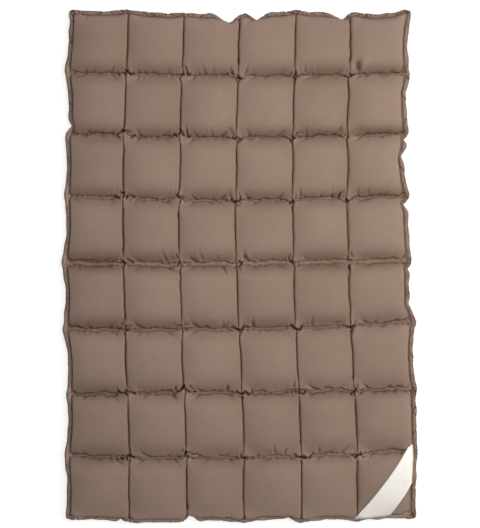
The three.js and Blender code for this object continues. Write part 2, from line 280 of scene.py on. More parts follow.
COLUMNS = len(LENGTH_SEAMS) - 1
ROWS = len(CROSS_SEAMS) - 1


def column_of(table: Sequence[Any], name: str) -> Array:
    """One named column of a table, as an array."""
    return np.array([getattr(line, name) for line in table], float)


def bell(distance: Array, width: float) -> Array:
    """A smooth bump: 1 at distance 0, and exp(-1) at the width."""
    return np.exp(-((distance / width) ** 2))


def peak(size: Pair, distance: Array) -> Array:
    """A pair's size, fading as a bell of the distance over its reach."""
    return size[0] * bell(distance, size[1])


def swing(distance: Array, width: float) -> Array:
    """An odd wave, 1 at the width and -1 at minus the width: q exp((1 - q^2) / 2) of q = d / w."""
    share = distance / width
    return share * np.exp(0.5 * (1 - share**2))


def arch(share: Array, exponent: float, roundness: float) -> Array:
    """A pocket's side to side rise: (1 - |2 share - 1|^exponent)^roundness, 0 on both seams."""
    return np.clip(1 - np.abs(2 * share - 1) ** exponent, 0, 1) ** roundness


def smooth_step(share: Array) -> Array:
    """A smooth rise from 0 to 1: s^2 (3 - 2 s)."""
    return share * share * (3 - 2 * share)


def crowded(steps: int, pull: float) -> Array:
    """Shares from 0 to 1 that lie closer together at both ends: t - pull sin(2 pi t) / (2 pi)."""
    even = np.linspace(0, 1, steps + 1)
    return even - pull * np.sin(2 * np.pi * even) / (2 * np.pi)


def unit(vectors: Array) -> Array:
    """Vectors made one unit long."""
    return vectors / np.maximum(np.linalg.norm(vectors, axis=-1, keepdims=True), 1e-9)


def label_slip(x: Array) -> Array:
    """How much narrower the binding is at places along the foot edge, where it holds the label."""
    return peak(LABEL_SLIP, x - LABEL_FOOT)


def run_of(places: Array) -> Array:
    """The distance run at each of a row of places, from the first one."""
    return np.append(0, np.cumsum(np.hypot.reduce(np.diff(places, axis=0), axis=1)))


def placed(at: Array, run: Array, values: Array) -> Array:
    """Rows of values blended at distances along a run."""
    return np.stack([np.interp(at, run, column) for column in values.T], -1)


def bilinear(values: Array, rows: Ints, columns: Ints, s: Array, t: Array) -> Array:
    """Values of a grid, blended between four neighbours.

    Args:
        values: the grid's values.
        rows: the row above each wanted place.
        columns: the column to its left.
        s: the share of the way to the next column.
        t: the share of the way to the next row.

    Returns:
        The blended value at each place.
    """
    upper = values[rows, columns] * (1 - s) + values[rows, columns + 1] * s
    lower = values[rows + 1, columns] * (1 - s) + values[rows + 1, columns + 1] * s
    return upper * (1 - t) + lower * t


def blend_weights(steps: int, pull: float, wanted: Array) -> Array:
    """Weights that turn values at crowded steps into values at wanted shares.

    Each wanted value is a Catmull-Rom blend of the four nearest steps, and past both ends the
    values run on straight.

    Args:
        steps: how many crowded steps there are.
        pull: how crowded they are.
        wanted: the wanted shares, from 0 to 1.

    Returns:
        The weights, wanted shares by step ends.
    """
    table = 4000
    place = np.interp(wanted, crowded(table, pull), np.linspace(0, 1, table + 1)) * steps
    low = np.clip(np.floor(place).astype(int), 0, steps - 1)
    t = place - low
    taps = (-t * (1 - t) ** 2, 2 - 5 * t**2 + 3 * t**3, t + 4 * t**2 - 3 * t**3, t**3 - t**2)
    weights = np.zeros((len(wanted), steps + 3))
    for shift, tap in enumerate(taps):
        weights[np.arange(len(wanted)), low + shift] += 0.5 * tap
    inner = weights[:, 1:-1].copy()
    inner[:, :2] += weights[:, :1] * [2, -1]
    inner[:, -2:] += weights[:, -1:] * [-1, 2]
    return inner


def grid_noise(shape: tuple[int, int], cells: tuple[int, int], seed: int) -> Array:
    """Smooth noise over a grid, of mean near 0 and spread near 1.

    A coarse grid of random heights is stretched over the shape with smooth steps between heights.

    Args:
        shape: rows and columns of the grid.
        cells: how many coarse cells lie along the rows and the columns.
        seed: the random draw.

    Returns:
        The noise at each grid point.
    """
    made = np.random.default_rng(seed).standard_normal((cells[0] + 2, cells[1] + 2))
    for axis, (count, cell) in enumerate(zip(shape, cells)):
        place = np.linspace(0, cell, count)
        low = np.floor(place).astype(int)
        part = smooth_step(place - low)
        part = part[:, None] if axis == 0 else part[None, :]
        made = np.take(made, low, axis) * (1 - part) + np.take(made, low + 1, axis) * part
    return made


def plane_ripple(x: Array, y: Array, wave: float, seed: int, count: int = 7) -> Array:
    """Crumple over a plane, of spread near 1: a sum of sines in random directions.

    Args:
        x: places across.
        y: places along.
        wave: the middle wave length.
        seed: the random draw.
        count: how many sines are added.

    Returns:
        The crumple at each place.
    """
    draw = np.random.default_rng(seed)
    total = np.zeros_like(x)
    for _ in range(count):
        angle, phase = draw.uniform(0, 2 * np.pi, 2)
        turn = 2 * np.pi / (wave * draw.uniform(0.7, 1.5))
        total += np.sin(turn * (x * np.cos(angle) + y * np.sin(angle)) + phase)
    return total / math.sqrt(count / 2)


def ring_ripple(share: Array, cycles: tuple[int, int], seed: int, count: int = 9) -> Array:
    """Crumple round a closed line, of spread near 1: a sum of sines with whole numbers of waves.

    Args:
        share: places round the line, from 0 to 1.
        cycles: the fewest and the most waves round the line.
        seed: the random draw.
        count: how many sines are added.

    Returns:
        The crumple at each place.
    """
    draw = np.random.default_rng(seed)
    waves = draw.integers(cycles[0], cycles[1], count)
    phases = draw.uniform(0, 2 * np.pi, count)
    return np.sin(2 * np.pi * share[..., None] * waves + phases).sum(-1) / math.sqrt(count / 2)


@dataclass
class PocketGrid:
    """The cloth's grid: the same steps in every pocket, and rows for the fold of each cross seam.

    Rows run from the head edge to the foot edge and columns from the left edge to the right edge.
    column, row, share_x and share_y are a point's pocket and its place in it. seam_i, seam_j, off_x
    and off_y are the nearest lengthwise and cross seam and the distance from them.
    """

    across: int  # steps over a pocket, side to side
    down: int  # and head to foot
    pull_x: float  # how crowded the steps across are at the seams
    pull_y: float  # and the steps down
    fold_rows: int = 3  # rows inside a fold, between the pockets above and below it

    def __post_init__(self) -> None:
        """Lays the grid out."""
        across, down = self.across, self.down
        block = down + 1 + self.fold_rows
        column = np.minimum(np.arange(COLUMNS * across + 1) // across, COLUMNS - 1)
        place = np.arange(ROWS * block - self.fold_rows)
        step = place % block
        self.first_rows = np.arange(ROWS) * block
        self.last_rows = self.first_rows + down
        self.in_fold = step > down
        self.folded = self.in_fold[:, None]
        share_x = np.append(np.tile(crowded(across, self.pull_x)[:-1], COLUMNS), 1.0)
        share_y = crowded(down, self.pull_y)[np.minimum(step, down)]
        fold = np.where(self.in_fold, (step - down) / (self.fold_rows + 1), 0.0)
        self.column, self.row = np.meshgrid(column, place // block)
        self.share_x, self.share_y = np.meshgrid(share_x, share_y)
        self.fold = np.repeat(fold[:, None], len(column), 1)
        self.shape = self.column.shape
        self.lower = self.share_y >= 0.5
        self.seam_i = self.column + (self.share_x >= 0.5)
        self.seam_j = self.row + self.lower
        self.off_x = (self.share_x - (self.share_x >= 0.5)) * POCKET_WIDE
        self.off_y = (self.share_y - self.lower) * POCKET_LONG
        self.inner_i = (self.seam_i > 0) & (self.seam_i < COLUMNS)
        self.inner_j = (self.seam_j > 0) & (self.seam_j < ROWS)
        self.inner = self.inner_i & self.inner_j

    def blend(self, corners: Array) -> Array:
        """Values at the crossings, by cross and lengthwise seam, blended over the pockets between."""
        return bilinear(corners, self.row, self.column, self.share_x, self.share_y)

    def seam_share(self, name: str) -> Array:
        """A pair of values at the nearest cross seam's ends, blended along the seam.

        Args:
            name: the pair's name in the table of cross seams.

        Returns:
            The value at each grid point.
        """
        pairs = column_of(CROSS_SEAMS, name)[self.seam_j]
        share = (self.column + self.share_x) / COLUMNS
        return pairs[..., 0] * (1 - share) + pairs[..., 1] * share

    def line_bell(self, width: float) -> Array:
        """A bell of the distance from the nearest lengthwise seam, and 0 beside an outer edge."""
        return np.where(self.inner_i, bell(self.off_x, width), 0)

    def cross_bell(self, width: float) -> Array:
        """A bell of the distance from the nearest cross seam, and 0 beside an outer edge."""
        return np.where(self.inner_j, bell(self.off_y, width), 0)

    def edge_peak(self, edge: Edge, size: Pair) -> Array:
        """A size that fades with the distance from an outer edge, over the pockets along that edge.

        Args:
            edge: the outer edge.
            size: the size at the edge, and its reach.

        Returns:
            The size at each grid point, and 0 in the other pockets.
        """
        distance, along = {
            Edge.LEFT: (self.share_x * POCKET_WIDE, self.column == 0),
            Edge.RIGHT: ((1 - self.share_x) * POCKET_WIDE, self.column == COLUMNS - 1),
            Edge.HEAD: (self.share_y * POCKET_LONG, self.row == 0),
            Edge.FOOT: ((1 - self.share_y) * POCKET_LONG, self.row == ROWS - 1),
        }[edge]
        return peak(size, distance) * along

    def onto(self, finer: PocketGrid) -> tuple[Array, Array]:
        """Weights that carry values from this grid onto another.

        Args:
            finer: the other grid.

        Returns:
            The weights of the rows and of the columns, used as rows @ values @ columns.
        """
        wide = blend_weights(self.across, self.pull_x, crowded(finer.across, finer.pull_x))
        long = blend_weights(self.down, self.pull_y, crowded(finer.down, finer.pull_y))
        rows = np.zeros((finer.shape[0], self.shape[0]))
        columns = np.zeros((self.shape[1], finer.shape[1]))
        rows[np.flatnonzero(finer.in_fold), np.flatnonzero(self.in_fold)] = 1
        for r in range(ROWS):
            to = slice(finer.first_rows[r], finer.last_rows[r] + 1)
            rows[to, self.first_rows[r] : self.last_rows[r] + 1] = long
        for c in range(COLUMNS):
            to = slice(c * finer.across, (c + 1) * finer.across + 1)
            columns[c * self.across : (c + 1) * self.across + 1, to] = wide.T
        return rows, columns

    @staticmethod
    def border(shape: tuple[int, int]) -> tuple[Ints, Ints]:
        """The border of a grid, counter-clockwise from above from the foot's left corner.

        Args:
            shape: rows and columns of the grid.

        Returns:
            The border's rows and columns.
        """
        last_row, last_column = shape[0] - 1, shape[1] - 1
        foot, head = np.arange(last_column), np.arange(last_column, 0, -1)
        right, left = np.arange(last_row, 0, -1), np.arange(last_row)
        rows = np.concatenate([foot * 0 + last_row, right, head * 0, left])
        columns = np.concatenate([foot, right * 0 + last_column, head, left * 0])
        return rows, columns

    def rim(self) -> tuple[Ints, Ints, Array]:
        """This grid's own border.

        Returns:
            The border's rows and columns, and the way out at each of its points.
        """
        rows, columns = self.border(self.shape)
        out_x = (columns == self.shape[1] - 1) * 1.0 - (columns == 0)
        out_y = (rows == 0) * 1.0 - (rows == self.shape[0] - 1)
        return rows, columns, np.stack([out_x, out_y], -1)


@dataclass
class QuiltPlan:
    """Where the cloth's grid lies, seen from above, and how high its seams are."""

    grid: PocketGrid
    nip_power: float = 1.5  # how pointed the nips in the outline are
    bow: Pair = (1.8, 26.0)  # a lengthwise seam's bow between crossings, a pair
    jog: Pair = (7.0, 16.0)  # how far jogs reach along and across that seam
    dip: Pair = (9.0, 18.0)  # how far dips reach along and across a cross seam
    shift_reach: float = 26.0  # how far a cross seam's shift fades
    shift_gap: float = 10.0  # how far from a crossing it sets in
    stray: Pair = (0.4, 8.0)  # how far a lengthwise seam strays, a pair
    wave: Pair = (0.9, 7.0)  # a cross seam's long waves, a pair
    jag: float = 0.8  # its short waves, which fade as the long ones do
    pinch: Pair = (0.6, 3.0)  # how far its fold is pinched, a pair

    def __post_init__(self) -> None:
        """Works the plan out over the grid."""
        self.x, self.y = (self.grid.blend(corners) for corners in self.crossings())
        self.draw_outline()
        self.part_folds()
        self.bend_seams()
        height = np.full((ROWS + 1, COLUMNS + 1), SEAM_HEIGHT)
        height[[0, -1]] = EDGE_HEIGHT
        height[:, [0, -1]] = EDGE_HEIGHT
        self.seam_height = self.grid.blend(height)

    @staticmethod
    def crossings() -> tuple[Array, Array]:
        """Where each lengthwise seam meets each cross seam.

        A cross seam's y is the parabola through its left, middle and right values. At the outline
        the place is that of the edge seam.

        Returns:
            The x and the y, by cross seam and lengthwise seam.
        """
        left, middle, right = column_of(CROSS_SEAMS, "y").T[..., None]
        sway, fan = (column_of(CROSS_SEAMS, name)[:, None] for name in ("sway", "fan"))
        i = np.arange(COLUMNS + 1)
        share = i / COLUMNS
        x = column_of(LENGTH_SEAMS, "x") + sway + fan * (i - COLUMNS / 2) / 2
        bow = middle - (left + right) / 2
        y = left * (1 - share) + right * share + 4 * bow * share * (1 - share)
        x[:, [0, -1]] = column_of(CROSS_SEAMS, "out") + [BINDING_REACH, -BINDING_REACH]
        y[[0, -1]] = column_of(LENGTH_SEAMS, "out").T + [[-BINDING_REACH], [BINDING_REACH]]
        return x, y

    def nip_depth(self, edge: Edge, along: Array) -> Array:
        """How far an edge is nipped in at places along it: the deepest of its pointed nips."""
        nips = [nip for nip in EDGE_NIPS if nip.edge is edge]
        return np.max([nip.depth * nip.near(along, self.nip_power) for nip in nips], 0)

    def draw_outline(self) -> None:
        """Draws the outline in between seams and at its nips, fading over the edge pockets.

        The draw is a half sine between two seams, times the square of the share to the far side.
        """
        g = self.grid
        left = np.where(g.column == 0, (1 - g.share_x) ** 2, 0)
        right = np.where(g.column == COLUMNS - 1, g.share_x**2, 0)
        head = np.where(g.row == 0, (1 - g.share_y) ** 2, 0)
        foot = np.where(g.row == ROWS - 1, g.share_y**2, 0)
        self.nip_x = self.nip_depth(Edge.LEFT, self.y) * left
        self.nip_x -= self.nip_depth(Edge.RIGHT, self.y) * right
        self.nip_y = self.nip_depth(Edge.FOOT, self.x) * foot
        self.nip_y -= self.nip_depth(Edge.HEAD, self.x) * head
        sides = column_of(CROSS_SEAMS, "draw")[g.row] * np.sin(np.pi * g.share_y)[..., None]
        self.x += self.nip_x + sides[..., 0] * left - sides[..., 1] * right
        ends = column_of(LENGTH_SEAMS, "draw")[g.column] * np.sin(np.pi * g.share_x)[..., None]
        self.y += self.nip_y + ends[..., 1] * foot - ends[..., 0] * head

    def part_folds(self) -> None:
        """Parts the pockets at each cross seam by the width of its fold, and lays the fold between."""
        g = self.grid
        fold = column_of(CROSS_SEAMS, "fold")
        above, below = fold[g.row] / 2, fold[g.row + 1] / 2
        pocket = below * g.share_y**3 - above * (1 - g.share_y) ** 3
        self.y += np.where(g.folded, below * (1 - 2 * g.fold), pocket)

    def bend_seams(self) -> None:
        """Gives the seams their small bends: bows between crossings, dips and jogs at them, waves.

        A dip is a bell that shifts the cross seam, and a jog is an odd swing that shifts the ends
        of the lengthwise seams apart.
        """
        g = self.grid
        dips, jogs = (np.pad(column_of(CROSS_SEAMS, name), ((0, 0), (1, 1)))[g.seam_j, g.seam_i]
                      for name in ("dips", "jogs"))
        bows = np.random.default_rng(7).uniform(-self.bow[0], self.bow[0], (ROWS, COLUMNS + 1))
        self.x += bows[g.row, g.seam_i] * np.sin(np.pi * g.share_y) * g.line_bell(self.bow[1])
        self.x += -0.5 * jogs * swing(g.off_y, self.jog[0]) * bell(g.off_x, self.jog[1])
        self.y += dips * bell(g.off_x, self.dip[0]) * bell(g.off_y, self.dip[1])
        shift = g.seam_share("shift") * bell(g.off_y, self.shift_reach)
        self.y += shift * (1 - g.line_bell(self.shift_gap))
        stray = grid_noise(g.shape, (ROWS * 16, COLUMNS * 2), 6)
        self.x += self.stray[0] * stray * g.line_bell(self.stray[1])
        wave = grid_noise(g.shape, (ROWS * 2, COLUMNS * 7), 3)
        jag = grid_noise(g.shape, (ROWS * 6, COLUMNS * 16), 5)
        pinch = grid_noise(g.shape, (g.shape[0] // 2, COLUMNS * 10), 8) * g.cross_bell(self.pinch[1])
        waved = (self.wave[0] * wave + self.jag * jag) * g.cross_bell(self.wave[1])
        self.y += (waved + self.pinch[0] * pinch) * (1 + g.seam_share("under"))

    def refine(self, finer: PocketGrid) -> None:
        """Carries the plan onto a finer grid.

        Args:
            finer: the finer grid.
        """
        rows, columns = self.grid.onto(finer)
        for name in ("x", "y", "nip_x", "nip_y", "seam_height"):
            setattr(self, name, rows @ getattr(self, name) @ columns)
        self.grid = finer

    def knots(self) -> Array:
        """Where the bent seams cross.

        Returns:
            The places, by cross seam and lengthwise seam, with x and y last.
        """
        g = self.grid
        rows = np.append(g.first_rows, g.last_rows[-1])
        lines = np.stack([self.x, self.y], -1)[:, :: g.across]
        return 0.5 * (lines[rows] + lines[np.append(0, g.last_rows)])


@dataclass
class SewnCloth:
    """The upper cloth: sewn down along its seams, with spare cloth, blown up by its filling.

    The cloth is a grid of points held at their rest lengths from each other. Each step carries a
    point on, pushes it along the surface's normal, and pulls it back to its rest lengths. Points
    on the seams stay, each pocket keeps to its own side of its seams, and a soft ceiling keeps the
    tops broad. mark is painted shade in gaps and creases, and below 0 painted light beside them.
    """

    plan: QuiltPlan
    spare_across: float = 0.18  # how much longer the cloth is than its plan
    spare_along: float = 0.10
    spare_head: float = 0.5  # the share of it left along a pocket's upper seam
    spare_side: float = 0.6  # and along its lengthwise seams
    spare_reach: Pair = (18.0, 12.0)  # how far from cross and lengthwise seams it is whole
    spare_drift: float = 0.7  # how unevenly it is shared out along the cross seams
    spare_limits: Pair = (0.1, 1.6)  # the least and the most share left there
    spare_uneven: float = 0.15  # how uneven it is in all
    spare_corner: float = 1.6  # more of it at the corners, as a share
    spare_edge: Pair = (0.4, 13.0)  # more of it at the left and foot edges, a pair
    corner_size: float = 16.0  # how far a pocket's corner reaches
    push: float = 0.0009  # the filling's push on the cloth
    push_corner: float = 5.0  # how much more it is at corners
    stiffness: float = 0.015  # how strongly the cloth stays smooth
    steps: int = 160  # how long it is blown up
    rounds: int = 3  # pulls to the rest lengths in each step
    drag: float = 0.88  # the share of a point's speed that is kept
    relax: float = 0.55  # the share of each pull that is taken
    stir: float = 0.25  # the random shift that starts the wrinkles
    soft: float = 0.35  # how far the ceiling presses a point back, as a share
    ceiling: float = 9.5  # the top's height above the seams at a pocket's rim
    dome: float = 12.0  # how much more it is midway
    low_foot: Pair = (8.5, 24.0)  # how much lower it is above a cross seam, a pair
    low_head: Pair = (6.5, 19.0)  # and below one
    low_left: Pair = (3.0, 7.0)  # at the left edge
    low_right: Pair = (8.0, 12.0)  # at the right edge
    low_slope: float = 3.5  # less this, growing from the last lengthwise seam to that edge
    low_line: Pair = (0.6, 15.0)  # the share that is not lowered at lengthwise seams
    low_ends: float = 0.4  # the share that is lowered at the head and foot edges
    low_label: float = 7.0  # under the ribbon
    low_most: float = 10.5  # and at most in all
    bulge_head: float = 3.0  # how far pockets bulge past the edge seam
    bulge_foot: float = 4.6
    bulge_side: float = -0.2
    right_gap: float = 1.6  # how much less at the right edge
    seam_gap: float = 0.25  # how far they stay from the other seams
    nip_cover: float = 0.1  # the share of a nip that they cover
    start_rise: float = 21.0  # the domes that the cloth starts from
    fill_spread: float = 0.07  # how unevenly the pockets are filled
    fill_phase: Triple = (2.3, 1.7, 0.6)  # how that changes by column, by row and by both
    fold_rise: float = 2.6  # a fold's height
    fold_uneven: float = 0.9  # how uneven it is
    fold_deep: float = 2.0  # the groove above it
    fold_under: float = 1.4  # the groove below it, as a share
    fold_step: float = 1.8  # the step below it
    crossing_deep: float = 2.8  # how deep the cloth lies where seams cross
    crumple_knot: Pair = (1.0, 11.0)  # the crumple round a crossing, a pair
    crumple_seam: Pair = (0.35, 7.0)  # and along the cross seams
    knot_depth: float = 4.8  # how deep the gaps in a knot are
    knot_floor: float = 7.0  # the most that they sink below the seams
    gap_width: float = 1.5  # half a gap's width
    rim_place: Pair = (3.8, 1.7)  # a rim's distance from its gap, and half its width
    rim_rise: float = 0.55  # a rim's height, as a share of the gap's depth
    rim_painted_highlight: float = 0.62  # the painted highlight on a rim
    crease_painted_shade: float = 0.19  # the painted shade in a crease for each millimetre of depth
    crease_side_painted_light: float = 0.4  # the painted light on its sides, as a share of that
    crease_start: float = 6.0  # how far from the seam a crease is at its deepest
    finer: PocketGrid = field(default_factory=lambda: PocketGrid(56, 28, 0.46, 0.75))
    points: Array = field(init=False)
    mark: Array = field(init=False)

    def __post_init__(self) -> None:
        self.lay()
        self.points = self.start()
        self.settle()
        rows, columns = self.grid.onto(self.finer)
        self.points = np.stack([rows @ v @ columns for v in np.moveaxis(self.points, -1, 0)], -1)
        self.plan.refine(self.finer)
        self.lay()
        self.mark = np.zeros(self.grid.shape)
        self.crumple()
        for knot in KNOTS:
            self.tie(knot)
        for crease in CREASES:
            self.press(crease)

    def lay(self) -> None:
        """Works out the seams' height, each pocket's fill, and where the corners and seams are."""
        g = self.grid = self.plan.grid
        self.seam_top = self.plan.seam_height + CLOTH_SEAM / 2
        across, down, both = self.fill_phase
        phase = across * g.column + down * g.row + both * g.column * g.row
        self.fill = 1 + self.fill_spread * np.sin(phase)
        self.corner = np.exp(-(g.off_x**2 + g.off_y**2) / self.corner_size**2)
        self.sewn = np.zeros(g.shape, bool)
        self.sewn[:, :: g.across] = True
        for rows in (g.in_fold, g.first_rows, g.last_rows):
            self.sewn[rows] = True

    def start(self) -> Array:
        """The cloth before it is blown up: a dome in each pocket, and a rounded fold on each seam.

        A dome is the product of its two arches. A fold is a half sine on a step, with a groove above
        it and one below.

        Returns:
            The place of each grid point.
        """
        g = self.grid
        rise = self.start_rise * arch(g.share_x, 2.8, 0.55) * arch(g.share_y, 2.5, 0.60) * self.fill
        uneven = grid_noise(g.shape, (ROWS * 2, COLUMNS * 12), 4)
        ridge = np.sin(np.pi * g.fold) * (self.fold_rise + self.fold_uneven * uneven)
        ridge = ridge * (1 - bell(g.off_x, 5))
        z = self.seam_top + np.where(g.folded, ridge, rise)
        above = np.where(g.folded, (1 - g.fold) ** 2, bell(g.off_y, 5) * g.lower)
        step = np.where(g.folded, g.fold, bell(g.off_y, 6) * ~g.lower)
        below = np.where(g.folded, g.fold**2, bell(g.off_y, 4) * ~g.lower)
        below = below * g.seam_share("under")
        groove = self.fold_deep * (g.seam_share("sink") * above + self.fold_under * below)
        z += np.where(g.inner_j, self.fold_step * step - groove, 0)
        z -= self.crossing_deep * g.line_bell(6) * g.cross_bell(9)
        return np.stack([self.plan.x, self.plan.y, z], -1)

    def rest_lengths(self) -> tuple[Array, Array, Array]:
        """How far apart neighbouring grid points are in the flat cloth.

        A length is that of the plan, times 1 plus the spare cloth there. The spare cloth eases
        from its share along a seam to its whole further off, and is more at the corners.

        Returns:
            The rest lengths across, along, and over a cell's diagonals.
        """
        g = self.grid
        x, y = self.plan.x - self.plan.nip_x, self.plan.y - self.plan.nip_y
        drift = grid_noise(g.shape, (ROWS, COLUMNS * 2), 11)
        uneven = 1 + self.spare_uneven * grid_noise(g.shape, (ROWS * 2, COLUMNS * 5), 9)
        gather = column_of(CROSS_SEAMS, "gather")[g.row + 1] * (1 + self.spare_drift * drift)
        at_seam = np.where(g.lower, np.clip(gather, *self.spare_limits), self.spare_head)
        more = self.spare_corner * self.spare_across * self.corner
        left, foot = (g.edge_peak(edge, self.spare_edge) for edge in (Edge.LEFT, Edge.FOOT))
        wide = self.spare_across * self.ease(g.off_y, self.spare_reach[0], at_seam) * uneven
        long = self.spare_along * self.ease(g.off_x, self.spare_reach[1], self.spare_side)
        free = 1 - 0.6 * self.held_down()
        across = 1 + (wide + more + left) * free
        along = 1 + (long + more + foot) * free
        rest_x = np.hypot(np.diff(x, axis=1), np.diff(y, axis=1))
        rest_x *= 0.5 * (across[:, 1:] + across[:, :-1])
        rest_y = np.hypot(np.diff(x, axis=0), np.diff(y, axis=0))
        rest_y *= 0.5 * (along[1:] + along[:-1])
        at_fold = g.in_fold[1:] | g.in_fold[:-1]
        rest_y[at_fold] = np.linalg.norm(np.diff(self.points, axis=0), axis=-1)[at_fold]
        slant = np.hypot(0.5 * (rest_x[1:] + rest_x[:-1]), 0.5 * (rest_y[:, 1:] + rest_y[:, :-1]))
        return rest_x, rest_y, slant

    @staticmethod
    def ease(distance: Array, width: float, at_seam: Array | float) -> Array:
        """A share that eases from its value at a seam to 1 further off."""
        return 1 - (1 - at_seam) * bell(distance, width)

    def walls(self) -> tuple[Array, Array, Array, Array]:
        """How far each point may move: to the seams round its pocket, and a little past the edge seam.

        Where the edge is nipped in, the pocket bulges over the nip.

        Returns:
            The lowest and highest x, and the lowest and highest y.
        """
        g, plan, gap = self.grid, self.plan, self.seam_gap
        lines = plan.x[:, :: g.across]
        rows = np.arange(g.shape[0])[:, None]
        side = self.bulge_side + self.nip_cover * np.abs(plan.nip_x)
        foot = self.bulge_foot + self.nip_cover * np.abs(plan.nip_y[-1])
        head = self.bulge_head + self.nip_cover * np.abs(plan.nip_y[0])
        right = self.right_gap - side[:, -1:]
        low_x = lines[rows, g.column] + np.where(g.column == 0, -side[:, :1], gap)
        high_x = lines[rows, g.column + 1] - np.where(g.column == COLUMNS - 1, right, gap)
        low_y = plan.y[g.last_rows][g.row[:, 0]] + np.where(g.row == ROWS - 1, -foot, gap)
        high_y = plan.y[g.first_rows][g.row[:, 0]] - np.where(g.row == 0, -head, gap)
        return low_x, high_x, low_y, high_y

    def held_down(self) -> Array:
        """How firmly the corner ribbon holds its pocket down: a smooth step over the pocket.

        Returns:
            The share at each grid point: 0 off the ribbon, and 1 at the duvet's corner.
        """
        g, off_ribbon = self.grid, 0.8
        here = (g.column == COLUMNS - 1) & (g.row == ROWS - 1)
        share = np.clip((g.share_x + g.share_y - off_ribbon) / off_ribbon, 0, 1)
        return np.where(here, smooth_step(share), 0)

    def roof(self) -> Array:
        """The soft ceiling: a broad dome over each pocket, lower along cross seams and at the sides.

        Returns:
            The ceiling's height at each grid point.
        """
        g = self.grid
        broad = arch(g.share_x, 2.4, 1.0) * arch(g.share_y, 2.5, 1.0) * self.fill
        full = 1 - self.low_line[0] * g.line_bell(self.low_line[1])
        foot = peak(self.low_foot, (1 - g.share_y) * POCKET_LONG) * full
        foot = foot * np.where(g.row < ROWS - 1, 1, self.low_ends)
        head = peak(self.low_head, g.share_y * POCKET_LONG) * full
        head = head * np.where(g.row > 0, 1, self.low_ends)
        left = g.edge_peak(Edge.LEFT, self.low_left)
        right = g.edge_peak(Edge.RIGHT, self.low_right)
        right = right - self.low_slope * g.share_x * (g.column == COLUMNS - 1)
        low = foot + head + left + right + self.low_label * self.held_down()
        return self.seam_top + self.ceiling + self.dome * broad - np.minimum(low, self.low_most)

    def normals(self) -> Array:
        """The cloth's upward normals: the cross product of its grid steps.

        Returns:
            The normals at each grid point, not made unit long, and 0 on the border.
        """
        wide, long = np.zeros((2, *self.points.shape))
        wide[:, 1:-1] = self.points[:, 2:] - self.points[:, :-2]
        long[1:-1] = self.points[:-2] - self.points[2:]
        return np.cross(wide, long)

    def settle(self) -> None:
        """Blows the cloth up, step by step, until it lies still."""
        rest_x, rest_y, slant = self.rest_lengths()
        low_x, high_x, low_y, high_y = self.walls()
        roof = self.roof()
        loose = ~self.sewn
        free = loose[..., None]
        push = (self.push * (1 + self.push_corner * self.corner))[..., None]
        noise = np.random.default_rng(21).standard_normal(self.points.shape)
        links = (
            (np.s_[:, :-1], np.s_[:, 1:], rest_x, 0.9),
            (np.s_[:-1], np.s_[1:], rest_y, 0.9),
            (np.s_[:-1, :-1], np.s_[1:, 1:], slant, 0.25),
            (np.s_[:-1, 1:], np.s_[1:, :-1], slant, 0.25),
        )
        self.points = self.points + self.stir * noise * free
        before = self.points
        for _ in range(self.steps):
            speed = self.drag * (self.points - before)
            before = self.points
            self.points = before + (speed + push * self.normals()) * free
            for _ in range(self.rounds):
                self.points = self.points + self.relax * self.pull(links) * free
            self.points = self.points + self.stiffness * self.bending() * free
            x, y, z = np.moveaxis(self.points, -1, 0)
            x = np.where(loose, np.clip(x, low_x, high_x), x)
            y = np.where(loose, np.clip(y, low_y, high_y), y)
            z = z - np.where(loose, self.soft * np.maximum(z - roof, 0), 0)
            self.points = np.stack([x, y, z], -1)

    def pull(self, links: Iterable[tuple[Any, Any, Array, float]]) -> Array:
        """How each point moves so that its links come nearer to their rest lengths.

        Args:
            links: slices of the two ends of each set of links, their rest lengths and strength.

        Returns:
            The sum of the links' pulls at each point.
        """
        total = np.zeros_like(self.points)
        for start, end, rest, strength in links:
            apart = self.points[end] - self.points[start]
            length = np.sqrt((apart * apart).sum(-1))
            share = 0.5 * strength * (1 - rest / np.maximum(length, 1e-6))
            move = share[..., None] * apart
            total[start] += move
            total[end] -= move
        return total

    def bending(self) -> Array:
        """How each point moves towards the middle of its neighbours, which move against it.

        Returns:
            The sum of the moves at each point.
        """
        total = np.zeros_like(self.points)
        ways = ((self.points.swapaxes(0, 1), total.swapaxes(0, 1)), (self.points, total))
        for p, moves in ways:
            bend = 0.5 * (p[2:] + p[:-2]) - p[1:-1]
            moves[1:-1] += bend
            moves[2:] -= 0.5 * bend
            moves[:-2] -= 0.5 * bend
        return total

    def crumple(self) -> None:
        """Crumples the cloth a little where seams cross, and less along the cross seams."""
        g = self.grid
        x, y = self.points[..., 0], self.points[..., 1]
        off = self.points[..., :2] - self.plan.knots()[g.seam_j, g.seam_i]
        away = np.where(g.inner, np.hypot(off[..., 0], off[..., 1]), np.inf)
        ridged = 1.0 - 1.8 * np.abs(plane_ripple(x, y, 13.0, 31))
        along = self.crumple_seam[0] * g.cross_bell(self.crumple_seam[1])
        move = peak(self.crumple_knot, away) * ridged + along * plane_ripple(x, y, 9.0, 32)
        self.points = self.points + unit(self.normals()) * move[..., None]

